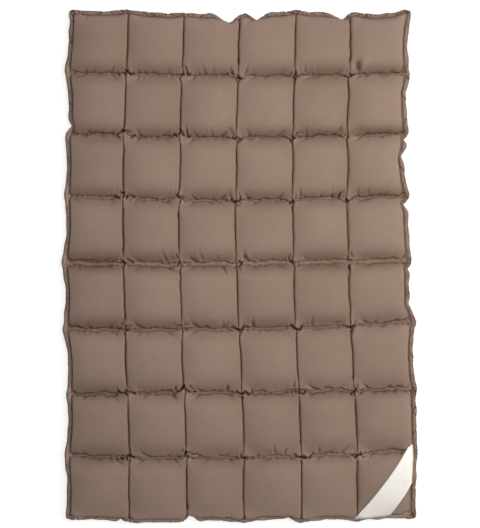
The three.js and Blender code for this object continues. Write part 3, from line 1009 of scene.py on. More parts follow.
    def tie(self, knot: Knot) -> None:
        """Draws a knot's gaps into the cloth, each a trough with a raised rim on both sides.

        At a distance d from a gap's line the cloth sinks by a bell of d, less a smaller bell round
        the rim. A gap is deepest midway along its line.

        Args:
            knot: the crossing and its gaps.
        """
        middle = np.array([places[knot.seam, knot.line] for places in self.plan.crossings()])
        up = unit(unit(self.normals()) + [0, 0, 1.0])
        for gap in knot.gaps:
            bends = np.reshape(gap, (-1, 2)) + middle
            step = np.diff(bends, axis=0)
            off = self.points[..., None, :2] - bends[:-1]
            share = np.clip((off * step).sum(-1) / (step * step).sum(-1), 0, 1)
            away = np.linalg.norm(off - share[..., None] * step, axis=-1)
            nearest = away.argmin(-1)[..., None]
            run = (nearest + np.take_along_axis(share, nearest, -1))[..., 0] / len(step)
            away = np.take_along_axis(away, nearest, -1)[..., 0]
            fade = 0.45 + 0.55 * np.sin(np.pi * run)
            trough = bell(away, self.gap_width) * fade
            rim = bell(away - self.rim_place[0], self.rim_place[1]) * fade
            sink = self.knot_depth * (trough - self.rim_rise * rim)
            self.points = self.points - up * sink[..., None]
            self.points[..., 2] = np.maximum(self.points[..., 2], self.seam_top - self.knot_floor)
            # painted shade in the gap's trough, and painted highlights on its rims
            self.mark += np.maximum(trough - self.mark, 0) - self.rim_painted_highlight * rim

    def press(self, crease: Crease) -> None:
        """Presses one long crease into its pocket: a trough with raised sides that fades out.

        Across the crease the depth is (1 - q^2) exp(-q^2 / 2), with q as distance / width, and
        along it the depth sets in near the seam and fades as 1 - t^2.

        Args:
            crease: the crease's place and size.
        """
        g = self.grid
        pocket = crease.seam - 1 if crease.reach > 0 else crease.seam
        line = g.last_rows[pocket] if crease.reach > 0 else g.first_rows[pocket]
        start_y = np.interp(crease.at, self.plan.x[line], self.plan.y[line])
        run = np.hypot(crease.reach, crease.lean)
        way = np.array([crease.lean, crease.reach]) / run
        off = self.points[..., :2] - np.array([crease.at, start_y])
        along = np.clip(off @ way / run, 0, 1)
        width = crease.width * (1 + crease.flare * (along - 0.5))
        q = (off[..., 0] * way[1] - off[..., 1] * way[0]) / width
        fade = 1 - along ** (2 + 2 * crease.flare)
        fade = fade * np.clip(along * run / self.crease_start, 0, 1)
        depth = crease.depth * fade * (1 - q * q) * np.exp(-q * q / 2)
        depth = np.where((g.row == pocket) & ~self.sewn, depth, 0)
        self.points = self.points - unit(self.normals()) * depth[..., None]
        # painted shade in the crease, and painted light on its raised sides
        self.mark += self.crease_painted_shade * np.maximum(depth, self.crease_side_painted_light * depth)

    def corner_pocket(self, count: int) -> Array:
        """The cloth over the corner pocket at the foot's right, sampled evenly both ways.

        Args:
            count: how many samples there are each way.

        Returns:
            The place of the cloth at each sample.
        """
        g, share = self.grid, np.linspace(0, 1, count)
        block = self.points[g.first_rows[-1] :, -g.across - 1 :]
        at_x = np.interp(share, g.share_x[-1, -g.across - 1 :], np.arange(g.across + 1))
        at_y = np.interp(share, g.share_y[g.first_rows[-1] :, -1], np.arange(g.down + 1))
        at_x, at_y = np.meshgrid(at_x, at_y)
        i = np.minimum(at_x.astype(int), g.across - 1)
        j = np.minimum(at_y.astype(int), g.down - 1)
        return bilinear(block, j, i, (at_x - i)[..., None], (at_y - j)[..., None])

    def underside(self) -> Array:
        """The lower cloth: the pockets' bellies, pressed flat by the floor.

        A belly hangs below its seams by as much as the top rises above them. Its height is the
        smooth maximum of that and the floor, (z + sqrt(z^2 + soft^2)) / 2.

        Returns:
            The place of each grid point of the lower cloth.
        """
        g, soft = self.grid, 1.6
        seam_low = self.plan.seam_height - CLOTH_SEAM / 2
        rise = np.maximum(self.points[..., 2] - self.seam_top, 0)
        hang = seam_low - np.where(g.folded, 0, rise)
        hang = np.minimum(hang, self.points[..., 2] - CLOTH_SEAM)
        z = 0.5 * (hang + np.sqrt(hang**2 + soft**2))
        border = g.border(g.shape)
        z[border] = seam_low[border]
        return np.stack([self.plan.x, self.plan.y, z], -1)


@dataclass
class EdgeLine:
    """The edge seam round the duvet, counter-clockwise from above, and the way out at each place.

    at_seam and at_head are how near a place is to a quilting seam's end, and to the head edge.
    nipped is how near it is to a nip, and slip is how much narrower the binding is.
    """

    plan: QuiltPlan
    step: float = 1.3  # the distance between stations
    seam_reach: float = 13.0  # how far from a quilting seam's end at_seam fades
    nip_power: float = 2.5  # how pointed nipped is
    full_nip: float = 14.0  # the depth of a nip that counts as a whole one
    corner: int = 13  # stations over which the way out turns at a corner
    square: float = 0.44  # how far three of the corners are drawn out square

    def __post_init__(self) -> None:
        """Lays stations evenly along the edge seam."""
        plan, g = self.plan, self.plan.grid
        rows, columns, out = g.rim()
        seam = np.stack([plan.x[rows, columns], plan.y[rows, columns]], -1)
        to_seam = np.where(out[:, 0] != 0, g.off_y[rows, columns], g.off_x[rows, columns])
        values = np.column_stack([seam, out, bell(to_seam, self.seam_reach), rows == 0])
        values = np.concatenate([values, values[:1]])
        run = run_of(values[:, :2])
        self.length = float(run[-1])
        self.count = round(self.length / self.step)
        self.share = np.arange(self.count) / self.count
        laid = placed(self.share * self.length, run, values)
        self.seam, self.at_seam, self.at_head = laid[:, :2], laid[:, 4], laid[:, 5]
        self.out = self.rounded(laid[:, 2:4])
        self.nipped = self.nip_share()
        self.slip = label_slip(self.seam[:, 0]) * (self.out[:, 1] < -SQUARE_ON)

    def rounded(self, out: Array) -> Array:
        """The ways out, turned smoothly at the corners, three of which are kept square.

        Args:
            out: the way out at each station, with sharp corners.

        Returns:
            The smooth way out at each station, longer than 1 at the square corners.
        """
        half = self.corner // 2
        mean = unit(sum(np.roll(out, shift, 0) for shift in range(-half, half + 1)))
        square = np.where((mean[:, :1] > 0) & (mean[:, 1:] > 0), 0.0, self.square)
        return mean * (1 + square * np.abs(mean[:, :1] * mean[:, 1:]))

    def nip_share(self) -> Array:
        """How near each station is to the middle of a nip: 1 at a whole nip's and 0 outside it.

        Returns:
            The largest share of all nips at each station.
        """
        out_x, out_y = self.out.T
        along = np.where(np.abs(out_y) > SQUARE_ON, *self.seam.T)
        side = {Edge.HEAD: out_y, Edge.FOOT: -out_y, Edge.LEFT: -out_x, Edge.RIGHT: out_x}
        shares = [np.where(side[nip.edge] > SQUARE_ON,
                           nip.near(along, self.nip_power) * nip.depth / self.full_nip, 0)
                  for nip in EDGE_NIPS]
        return np.max(shares, 0)


class Wire:
    """A node's output, with operators that add Math nodes."""

    def __init__(self, sheet: NodeSheet, socket: bpy.types.NodeSocket | None) -> None:
        """Keeps the socket and the sheet that it is on."""
        self.sheet = sheet
        self.socket = socket

    def math(self, operation: str, first: Value, second: Value = 0.0) -> Wire:
        """A Math node of two values."""
        return self.sheet.node("ShaderNodeMath", {"operation": operation}, {0: first, 1: second})

    def __add__(self, other: Value) -> Wire:
        """This plus the other."""
        return self.math("ADD", self, other)

    __radd__ = __add__

    def __sub__(self, other: Value) -> Wire:
        """This less the other."""
        return self.math("SUBTRACT", self, other)

    def __rsub__(self, other: Value) -> Wire:
        """The other less this."""
        return self.math("SUBTRACT", other, self)

    def __mul__(self, other: Value) -> Wire:
        """This times the other."""
        return self.math("MULTIPLY", self, other)

    __rmul__ = __mul__

    def sine(self) -> Wire:
        """The sine of this."""
        return self.math("SINE", self)


Value = Wire | float


class NodeSheet:
    """A material's nodes, added one by one."""

    def __init__(self, name: str) -> None:
        """Starts an empty node material.

        Args:
            name: the material's name.
        """
        self.material = bpy.data.materials.new(name)
        self.material.use_nodes = True
        self.tree = self.material.node_tree
        self.tree.nodes.clear()

    def node(
        self,
        kind: str,
        settings: Mapping[str, Any] | None = None,
        inputs: Mapping[str | int, Any] | None = None,
        output: str | int = 0,
    ) -> Wire:
        """Adds one node.

        Args:
            kind: the node's type.
            settings: its properties, set first.
            inputs: values or wires for its sockets, by name or number.
            output: which of its outputs is given back.

        Returns:
            The node's output, as a wire.
        """
        made = self.tree.nodes.new(kind)
        for key, value in (settings or {}).items():
            setattr(made, key, value)
        for key, value in (inputs or {}).items():
            if isinstance(value, Wire):
                self.tree.links.new(value.socket, made.inputs[key])
            else:
                made.inputs[key].default_value = value
        return Wire(self, made.outputs[output] if made.outputs else None)

    def mix(self, factor: Value, first: Any, second: Any) -> Wire:
        """A blend of two colours: the first where the factor is 0, the second where it is 1."""
        return self.node("ShaderNodeMix", {"data_type": "RGBA"}, {0: factor, 6: first, 7: second}, 2)

    def noise(self, place: Wire, scale: float, detail: float = 2.0) -> Wire:
        """Noise from 0 to 1 over a place, with that many cells a metre."""
        inputs = {"Vector": place, "Scale": scale, "Detail": detail}
        return self.node("ShaderNodeTexNoise", None, inputs, "Fac")

    def mark(self, name: str) -> Wire:
        """The mesh's attribute of that name."""
        return self.node("ShaderNodeAttribute", {"attribute_name": name}, None, "Fac")

    def mapped(self, place: Wire, **inputs: Any) -> Wire:
        """A place turned or scaled by those inputs of a Mapping node."""
        return self.node("ShaderNodeMapping", None, {"Vector": place, **inputs})

    def cloth_place(self, turn: float = 0.0) -> Wire:
        """The place on the flat cloth in metres, turned by an angle in radians."""
        place = self.node("ShaderNodeUVMap", {"uv_map": CUT_MAP})
        return self.mapped(place, Rotation=(0, 0, turn)) if turn else place

    def object_place(self) -> Wire:
        """The place in the duvet's frame, in metres."""
        return self.node("ShaderNodeTexCoord", None, None, "Object")

    def waves(self, place: Wire, pitch: float) -> tuple[Wire, Wire]:
        """The first two numbers of a place, as angles that turn once in each pitch.

        Args:
            place: the place, in metres.
            pitch: the distance of one turn, in metres.

        Returns:
            The two angles.
        """
        turns = 2 * math.pi / pitch
        u, v = (self.node("ShaderNodeSeparateXYZ", None, {0: place}, axis) for axis in (0, 1))
        return u * turns, v * turns

    def bump(self, height: Wire, distance: float, strength: float = 1.0, **inputs: Any) -> Wire:
        """A normal bent by a height, where a height of 1 stands for that distance in metres."""
        inputs.update(Height=height, Distance=distance, Strength=strength)
        return self.node("ShaderNodeBump", None, inputs)

    def finish(self, inputs: Mapping[str, Any]) -> bpy.types.Material:
        """Ends the sheet in a Principled shader.

        Args:
            inputs: values or wires for the shader's sockets, by name.

        Returns:
            The finished material.
        """
        shader = self.node("ShaderNodeBsdfPrincipled", None, inputs)
        self.node("ShaderNodeOutputMaterial", None, {"Surface": shader})
        return self.material


def opaque(colour: Triple) -> tuple[float, float, float, float]:
    """A colour with full alpha, as colour sockets take it."""
    return (*colour, 1.0)


@dataclass(frozen=True)
class CottonFinish:
    """Dense plain-woven cotton, dyed taupe, with a soft handle.

    The weave's height is the product of two sines over the flat cloth, with slubs along both
    threads. Colour is deeper and browner in the seams as painted shade, and varies in soft clouds.
    """

    name: str
    colour: Triple
    deep: Triple  # the colour of the deepest painted shade in the seams, which clouds and slubs lean towards
    painted_shade_tint: Triple = (0.32, 0.18, 0.10)  # the brown tint of the painted shade along the lines of the seams
    turn: float = 0.0  # the threads' angle
    pitch: float = 0.0007  # two threads, in metres
    roughness: float = 0.86
    sheen: float = 0.03
    crumple: float = 0.0007  # the soft handle's height, in metres
    base: float = 0.40  # how deep the colour is in the open cloth
    shade: float = 0.0  # and how much more, as painted shade over the whole piece
    at_seam: float = 0.60  # how much deeper the painted shade in the seams makes it
    clouds: float = 0.22  # how much it varies in clouds
    slubs: float = 0.14  # and in slubs
    fibre: Pair = (60.0, 1500.0)  # cells a metre along a slub and across it

    def make(self) -> bpy.types.Material:
        """Builds the material.

        Returns:
            The material.
        """
        sheet = NodeSheet(self.name)
        cloth, place = sheet.cloth_place(self.turn), sheet.object_place()
        u, v = sheet.waves(cloth, self.pitch)
        weave = u.sine() * v.sine()
        slub_u, slub_v = (sheet.noise(sheet.mapped(cloth, Scale=(*scale, 1)), 1.0)
                          for scale in (self.fibre, self.fibre[::-1]))
        slub = slub_u + slub_v - 1.0
        cloud, handle = sheet.noise(place, 9.0, 3.0), sheet.noise(place, 95.0, 3.0)
        # painted shade from the seam mark, with clouds and slubs of tone
        depth = sheet.mark(SHADE_AND_EDGE_MARK) * self.at_seam + (cloud - 0.5) * self.clouds
        depth = depth + slub * self.slubs + self.base + self.shade
        # the painted shade tint: a browner colour along the seams' shaded lines
        colour = sheet.mix(sheet.mark(SHADE_TINT_MARK), opaque(self.colour), opaque(self.painted_shade_tint))
        fine = sheet.bump(weave * 0.5 + slub * 0.9, 0.00022, 0.55)
        return sheet.finish({
            "Base Color": sheet.mix(depth, colour, opaque(self.deep)),
            "Roughness": self.roughness + (slub * 0.10),
            "Normal": sheet.bump(handle, self.crumple, Normal=fine),
            "Sheen Weight": self.sheen,
            "Sheen Roughness": 0.5,
            "Sheen Tint": opaque(self.colour),
            "Specular IOR Level": 0.04,
        })


@dataclass(frozen=True)
class RibbonFinish:
    """A bare cream ribbon: fine ribs across it, and a deeper colour along its edges."""

    name: str = "cream_ribbon"
    colour: Triple = (0.87, 0.825, 0.77)
    deep: Triple = (0.70, 0.66, 0.58)  # the colour along its edges
    pitch: float = 0.0009  # between two ribs, in metres
    roughness: float = 0.62

    def make(self) -> bpy.types.Material:
        """Builds the material.

        Returns:
            The material.
        """
        sheet = NodeSheet(self.name)
        cloth = sheet.cloth_place()
        u, v = sheet.waves(cloth, self.pitch)
        rib = u.sine() * 0.6 + (v * 2.0).sine() * 0.3
        cloud = sheet.noise(cloth, 45.0, 3.0)
        # the colour is deeper along the edges, by the edge mark
        depth = (cloud - 0.5) * 0.5 + sheet.mark(SHADE_AND_EDGE_MARK) * 0.30 + rib * 0.05 + 0.15
        return sheet.finish({
            "Base Color": sheet.mix(depth, opaque(self.colour), opaque(self.deep)),
            "Roughness": self.roughness + rib * 0.06,
            "Normal": sheet.bump(rib + cloud * 0.8, 0.0002, 0.6),
            "Sheen Weight": 0.1,
            "Specular IOR Level": 0.35,
        })


@dataclass(frozen=True)
class ThreadFinish:
    """Twisted sewing thread, a shade lighter than the cloth."""

    name: str = "taupe_thread"
    colour: Triple = (0.30, 0.215, 0.165)
    deep: Triple = (0.20, 0.14, 0.105)  # the colour between its fibres

    def make(self) -> bpy.types.Material:
        """Builds the material.

        Returns:
            The material.
        """
        sheet = NodeSheet(self.name)
        fibre = sheet.noise(sheet.object_place(), 2600.0, 1.0)
        return sheet.finish({
            "Base Color": sheet.mix(fibre, opaque(self.colour), opaque(self.deep)),
            "Roughness": 0.55 + fibre * 0.2,
            "Normal": sheet.bump(fibre, 0.00012),
            "Specular IOR Level": 0.4,
        })


@dataclass(frozen=True)
class FloorFinish:
    """A matt pale floor that glows a little, so that it stays clean under soft light."""

    name: str = "pale_floor"
    colour: Triple = (0.40, 0.40, 0.40)
    glow: float = 0.72

    def make(self) -> bpy.types.Material:
        """Builds the material.

        Returns:
            The material.
        """
        return NodeSheet(self.name).finish({
            "Base Color": opaque(self.colour),
            "Roughness": 0.9,
            "Specular IOR Level": 0.1,
            "Emission Color": (1, 1, 1, 1),
            "Emission Strength": self.glow,
        })


def grid_faces(index: Ints) -> Ints:
    """Quads over a grid of point numbers, facing up where rows run down the picture."""
    corners = (index[1:, :-1], index[1:, 1:], index[:-1, 1:], index[:-1, :-1])
    return np.stack(corners, -1).reshape(-1, 4)


def ring_faces(inner: Ints, outer: Ints) -> Ints:
    """Quads between two closed rings of point numbers that run the same way."""
    return np.stack([inner, np.roll(inner, -1), np.roll(outer, -1), outer], -1)


def make_piece(
    name: str,
    points: Array,
    faces: Sequence[Ints],
    material: bpy.types.Material,
    cut: Array | None = None,
    marks: Mapping[str, Array] | None = None,
) -> bpy.types.Object:
    """Makes a smooth-shaded mesh object at the origin.

    Args:
        name: the piece's name.
        points: its points, in millimetres.
        faces: groups of its faces, as rows of point numbers, facing outwards.
        material: its finish.
        cut: each point's place on the flat cloth in metres, for the weave.
        marks: a value for each point, by attribute name.

    Returns:
        The object, linked into the scene.
    """
    mesh = bpy.data.meshes.new(name)
    rows = [face for group in faces for face in group.tolist()]
    mesh.from_pydata((points * METRE).tolist(), [], rows)
    mesh.polygons.foreach_set("use_smooth", np.ones(len(mesh.polygons), bool))
    if cut is not None:
        corner_points = np.zeros(len(mesh.loops), np.int32)
        mesh.loops.foreach_get("vertex_index", corner_points)
        layer = mesh.uv_layers.new(name=CUT_MAP)
        layer.uv.foreach_set("vector", cut[corner_points].astype(np.float32).ravel())
    for key, mark in (marks or {}).items():
        layer = mesh.attributes.new(key, "FLOAT", "POINT")
        layer.data.foreach_set("value", mark.astype(np.float32).ravel())
    mesh.materials.append(material)
    piece = bpy.data.objects.new(name, mesh)
    bpy.context.scene.collection.objects.link(piece)
    return piece


@dataclass
class QuiltedCover:
    """The filled cover: both cloths, and their raw edges that the binding holds.

    A size of painted shade is added to the painted shade mark, and a size of painted light is taken
    off it.
    """

    cloth: SewnCloth
    edge_droop: float = 8.0  # degrees by which the raw edges lie below level
    step_down: int = 2  # the upper cloth's steps for one of the lower cloth
    step_across: int = 4
    rim_painted_shade: float = 0.5  # both painted shade marks on the raw edges
    thread: Pair = (0.12, 2.2)  # how unevenly dark the painted shade along a lengthwise seam is, a pair
    groove: Pair = (0.35, 5.0)  # how dark the painted shade in the groove above a fold is, a pair
    groove_under: float = 0.4  # and the painted shade in the groove below it
    clear: Pair = (0.5, 8.0)  # the share of this painted shade not seen at crossings, a pair
    broad_clear: Pair = (0.9, 15.0)  # the same for the broad painted shade beside the seams
    broad_left: Pair = (0.15, 24.0)  # that painted shade to the left of a lengthwise seam, a pair
    broad_right: Pair = (0.04, 17.0)  # and to its right
    painted_shade_above: Pair = (7.0, 15.0)  # how far above a fold the painted shade is darkest, and its reach
    painted_shade_below: float = 17.0  # the painted shade's reach below a fold
    on_fold: float = 0.4  # the share of it on a fold
    painted_highlight: Triple = (0.12, 4.5, 2.0)  # the painted highlight beside a seam, how far off, and its reach
    edge_painted_light: tuple[tuple[Edge, Pair], ...] = (  # the painted light along an edge, a pair
        (Edge.LEFT, (0.5, 7.0)), (Edge.FOOT, (0.2, 25.0)), (Edge.HEAD, (0.15, 25.0)))
    tint_line: float = 1.4  # half the width of the painted shade tint on a lengthwise seam's line
    tint_cross: Pair = (0.25, 4.0)  # how strong the painted shade tint on a cross seam is, a pair
    tint_fold: float = 0.3  # the share of that on a fold

    def build(self, material: bpy.types.Material) -> bpy.types.Object:
        """Makes the closed cover: a fine upper cloth, a lower cloth with fewer steps, and a rim.

        Args:
            material: the cover's finish.

        Returns:
            The cover's object.
        """
        g, plan = self.cloth.grid, self.cloth.plan
        top, bottom = self.cloth.points, self.coarse(self.cloth.underside())
        top_index = np.arange(top[..., 0].size).reshape(g.shape)
        low_index = np.arange(bottom[..., 0].size).reshape(bottom.shape[:2]) + top_index.size
        rows, columns, out = g.rim()
        kept = np.where(out[:, 0] != 0, rows % self.step_down == 0, columns % self.step_across == 0)
        upper, lower = top_index[rows, columns], low_index[g.border(low_index.shape)]
        sink = FLANGE_REACH * math.sin(math.radians(self.edge_droop))
        edge = np.stack([plan.x[rows, columns], plan.y[rows, columns]], -1) + FLANGE_REACH * out
        flange = np.column_stack([edge, np.full(len(rows), EDGE_HEIGHT - sink)])
        first = top_index.size + low_index.size
        upper_rim = np.arange(len(upper)) + first
        lower_rim = np.arange(len(lower)) + first + len(upper)
        rims = [flange + [0, 0, CLOTH_SEAM / 2], flange[kept] - [0, 0, CLOTH_SEAM / 2]]
        points = np.concatenate([top.reshape(-1, 3), bottom.reshape(-1, 3), *rims])
        under = lower_rim[np.cumsum(kept) - 1]
        faces = [
            grid_faces(top_index),
            grid_faces(low_index)[:, ::-1],
            ring_faces(upper_rim, upper),
            ring_faces(lower, lower_rim),
            np.stack([under, np.roll(upper_rim, -1), upper_rim], -1),
            np.stack([lower_rim, np.roll(lower_rim, -1), np.roll(upper_rim[kept], -1)], -1),
        ]
        flat = self.flat_places()
        low_flat, rim_flat = self.coarse(flat).reshape(-1, 2), flat[rows, columns]
        cut = np.concatenate([flat.reshape(-1, 2), low_flat, rim_flat, rim_flat[kept]])
        # painted shade and its tint on the raw edges
        rim = np.full(len(upper) + len(lower), self.rim_painted_shade)
        # the painted shade and its brown tint, as point attributes
        marks = {name: np.concatenate([mark.ravel(), self.coarse(mark).ravel(), rim])
                 for name, mark in ((SHADE_AND_EDGE_MARK, self.painted_light_and_shade()), (SHADE_TINT_MARK, self.shade_tint()))}
        return make_piece("duvet_cover", points, faces, material, cut, marks)

    def coarse(self, values: Array) -> Array:
        """Values on the lower cloth's steps."""
        return values[:: self.step_down, :: self.step_across]

    def flat_places(self) -> Array:
        """Each grid point's place on the flat cloth, from its pocket and share, with spare cloth.

        Returns:
            The places, in metres.
        """
        g, cloth = self.cloth.grid, self.cloth
        u = (g.column + g.share_x) * (POCKET_WIDE * (1 + cloth.spare_across))
        v = -(g.row + g.share_y) * (POCKET_LONG * (1 + cloth.spare_along))
        return np.stack([u, v], -1) * METRE

    def to_line(self) -> Array:
        """How far the solved cloth lies to the right of the nearest lengthwise seam.

        Returns:
            The distance at each grid point, and a very large one beside the outer edges.
        """
        g, x = self.cloth.grid, self.cloth.points[..., 0]
        lines = x[:, :: g.across]
        return np.where(g.inner_i, x - lines[np.arange(g.shape[0])[:, None], g.seam_i], np.inf)

    def painted_light_and_shade(self) -> Array:
        """The painted shade on the cloth: in grooves and folds, broadly beside the seams, and in its
        marks.

        Each is a bell of the distance from its seam. The broad painted shade fades out at the
        crossings, and a painted highlight right of each lengthwise seam and painted light at the outer
        edges lighten it.

        Returns:
            The painted shade at each grid point, below 0 where light is painted.
        """
        g, mark, to_line = self.cloth.grid, self.cloth.mark, self.to_line()
        away = np.where(g.inner, np.hypot(g.off_x, g.off_y), np.inf)
        uneven = grid_noise(g.shape, (ROWS * 14, COLUMNS * 2), 14)
        # painted shade along each lengthwise seam's line, uneven along it
        side = uneven * peak(self.thread, to_line)
        # painted shade in the grooves beside the folds, and on the folds
        sink = self.groove[0] * g.seam_share("sink")
        under = self.groove_under * g.seam_share("under")
        fold = sink * (1 - g.fold) ** 2 + under * g.fold**2
        cross = np.where(g.lower, sink, under) * bell(g.off_y, self.groove[1])
        cross = np.where(g.folded, np.maximum(fold, g.seam_share("painted_shade_fold")), cross)
        near = np.maximum(side, cross) * (1 - peak(self.clear, away))
        # broad painted shade beside the lengthwise seams, and above and below the cross seams
        left, right = (size * g.line_bell(reach)
                       for size, reach in (self.broad_left, self.broad_right))
        painted_shade_above = g.seam_share("painted_shade_above") * bell(g.off_y + self.painted_shade_above[0], self.painted_shade_above[1])
        painted_shade_below = g.seam_share("painted_shade_below") * bell(g.off_y, self.painted_shade_below)
        broad = np.where(g.lower, painted_shade_above, painted_shade_below) * np.where(g.folded, self.on_fold, 1)
        broad = np.where(g.off_x < 0, left, right) + broad
        near += broad * (1 - peak(self.broad_clear, away))
        # a painted highlight to the right of each lengthwise seam, and painted light along the outer
        # edges
        painted_highlight = self.painted_highlight[0] * bell(to_line - self.painted_highlight[1], self.painted_highlight[2])
        light = sum(g.edge_peak(edge, size) for edge, size in self.edge_painted_light)
        return np.maximum(near, mark) - painted_highlight - light + np.minimum(mark, 0)

    def shade_tint(self) -> Array:
        """How strongly the painted shade is tinted brown: a line on each lengthwise seam, and less on
        cross seams.

        Returns:
            The tint's strength at each grid point, from 0 to 1.
        """
        g = self.cloth.grid
        cross = np.where(g.folded, self.tint_fold, 1) * g.cross_bell(self.tint_cross[1])
        return np.maximum(bell(self.to_line(), self.tint_line), self.tint_cross[0] * cross)


@dataclass
class EdgeBinding:
    """The bias strip, folded over the raw edges and gathered: a U section carried round the edge."""

    line: EdgeLine
    lip: float = 1.5  # edge seam to the strip's sewn lips
    cloth: float = 1.1  # its thickness
    gap: float = 0.3  # between it and the cloths inside it
    swell: float = 1.5  # its rise over the middle
    shoulder: float = 0.80  # where it turns over the edge, as a share of its reach
    droop: float = 8.0  # degrees below level
    droop_swing: float = 4.0  # how far they swing round the duvet
    droop_wave: Pair = (23.0, 31.0)  # the length of that swing along x and along y
    droop_roll: float = 5.0  # how far they change from place to place
    nip_droop: float = 45.0  # how many more in a nip
    side_lift: float = 14.0  # how many fewer along the left and right edges
    gather: float = 0.75  # how far gathers lift the strip
    gather_at: Triple = (0.6, 0.9, 0.5)  # their shares all round, at seams and at the head
    lateral: float = 0.7  # how far they push it in and out
    tuck: float = 2.3  # how deep its small pleats are
    tuck_gap: float = 17.0  # how far apart on average
    tuck_at: Triple = (0.7, 0.6, 0.4)  # their shares all round, at the head and at the right
    calm: Pair = (0.9, 1.6)  # how much smoother it is in a nip, and how soon
    nip_narrow: float = 0.35  # how much narrower it is there
    slant: float = 5.0  # how far gathers lean along the edge
    mitre_tuck: float = 0.5  # the fold across a corner, as a share of a pleat
    under_share: float = 0.4  # the share of the gathers on the lower face

    def section(self) -> Array:
        """The closed section, from the upper lip round the fold.

        The sides swell as half sines, the fold is half an ellipse, and the slot inside is flat.

        Returns:
            The section's points, as reach outwards and rise.
        """
        slot = CLOTH_SEAM / 2 + self.gap
        thick = slot + self.cloth
        turn = self.shoulder * BINDING_REACH
        share = np.linspace(0, 1, 7)
        thin = 0.7 * self.cloth * (1 - share) ** 2
        side = np.stack([self.lip + (turn - self.lip) * share,
                         thick - thin + self.swell * np.sin(np.pi * share)], -1)
        angle = np.linspace(0.5 * np.pi, -0.5 * np.pi, 9)[1:-1]
        fold = np.stack([turn + (BINDING_REACH - turn) * np.cos(angle), thick * np.sin(angle)], -1)
        under = side[::-1] * [1, -1]
        end = FLANGE_REACH + self.gap
        inside = np.array([[self.lip, -slot], [end, -slot], [end, slot], [self.lip, slot]])
        return np.concatenate([side, fold, under, inside])

    def outer(self, reach: Array) -> Array:
        """A reach outwards as a share of the way from the strip's lips to its fold."""
        return np.clip((reach - self.lip) / (BINDING_REACH - self.lip), 0, 1)

    def tucks(self, share: Array, outer: Array) -> Array:
        """How deeply the strip is tucked at each place: slanted pleats at uneven distances.

        Args:
            share: places round the edge, from 0 to 1, one for each row.
            outer: shares of the strip's reach, from its lips to its fold.

        Returns:
            The depth, row by column, near 1 on the deepest pleats and 0 between them.
        """
        draw = np.random.default_rng(46)
        length = self.line.length
        count = round(length / self.tuck_gap)
        place = np.cumsum(draw.uniform(0.25, 1.75, count))
        place *= length / place[-1]
        deep = draw.uniform(0.15, 1.0, count)
        slant = draw.uniform(7, 20, count) * draw.choice([-1.0, 1.0], count)
        width = draw.uniform(1.2, 2.6, count)
        at = share[:, None] * length
        after = np.searchsorted(place, at)
        total = np.zeros(np.broadcast_shapes(at.shape, outer.shape))
        for near in ((after - 1) % count, after % count):
            away = at - place[near] - slant[near] * (outer - 0.5)
            away -= length * np.round(away / length)
            total = total + deep[near] * bell(away, width[near])
        return total

    @staticmethod
    def mitre(out_x: Array, out_y: Array) -> Array:
        """The fold across each corner: a high power of how evenly the way out lies between x and y."""
        return np.clip(2 * np.abs(out_x * out_y), 0, 1) ** 8

    def surface(self, share: Array, reach: Array, rise: Array) -> Array:
        """Points of the strip, turned down about the edge seam by its droop, with its gathers.

        Gathers are ridges, 1.8 |ripple| - 1.2, less the pleats and the corners' folds. They lift the
        strip by a half sine over its reach and push its fold in and out.

        Args:
            share: places round the edge, from 0 to 1, one for each row.
            reach: outwards from the edge seam, one for each column or row by column.
            rise: above the edge seam's middle, in the same form.

        Returns:
            The points, row by column.
        """
        line = self.line
        at = share * line.count
        low = np.floor(at).astype(int)
        part = (at - low)[:, None]
        packed = np.column_stack([line.seam, line.out, line.at_seam, line.at_head, line.nipped,
                                  line.slip])
        laid = packed[low % line.count] * (1 - part) + packed[(low + 1) % line.count] * part
        x, y, out_x, out_y, at_seam, at_head, nipped, slip = np.split(laid, 8, 1)
        outer = self.outer(reach)
        calm = 1 - self.calm[0] * np.clip(self.calm[1] * nipped, 0, 1)
        even, more_head, more_right = self.tuck_at
        pleat = even + more_head * at_head + more_right * np.clip(out_x, 0, 1)
        pleat = self.tucks(share, outer) * pleat * calm
        share = share[:, None]
        uneven = np.clip(0.8 + 0.6 * ring_ripple(share, (40, 90), 44), 0.1, 2.0)
        even, more_seam, more_head = self.gather_at
        gather = (even + more_seam * at_seam + more_head * at_head) * uneven * self.gather * calm
        leaning = share + self.slant * outer / line.length
        fine = 1.8 * np.abs(ring_ripple(leaning, (120, 260), 41)) - 1.2
        lift = gather * fine - self.tuck * (pleat + self.mitre_tuck * self.mitre(out_x, out_y))
        lift = lift * (0.3 + 0.7 * np.sin(np.pi * outer * 0.8))
        lift = lift * np.where(rise > 0, 1, self.under_share)
        narrow = 1 - slip / BINDING_REACH - self.nip_narrow * nipped
        sway = 0.7 * ring_ripple(share, (50, 110), 42) + 0.12 * gather * fine - 1.1 * pleat
        reach = slip + reach * narrow + outer * self.lateral * sway
        rise = rise + lift
        wave = np.sin(x / self.droop_wave[0]) + np.sin(y / self.droop_wave[1])
        droop = self.droop + self.droop_swing * wave
        droop = droop - self.side_lift * np.clip(np.abs(out_x) - np.abs(out_y), 0, 1)
        droop = droop + self.droop_roll * ring_ripple(share, (60, 160), 43)
        droop = np.radians(droop + self.nip_droop * nipped)
        outward = reach * np.cos(droop) + rise * np.sin(droop)
        height = EDGE_HEIGHT + rise * np.cos(droop) - reach * np.sin(droop)
        return np.stack([x + out_x * outward, y + out_y * outward, height], -1)

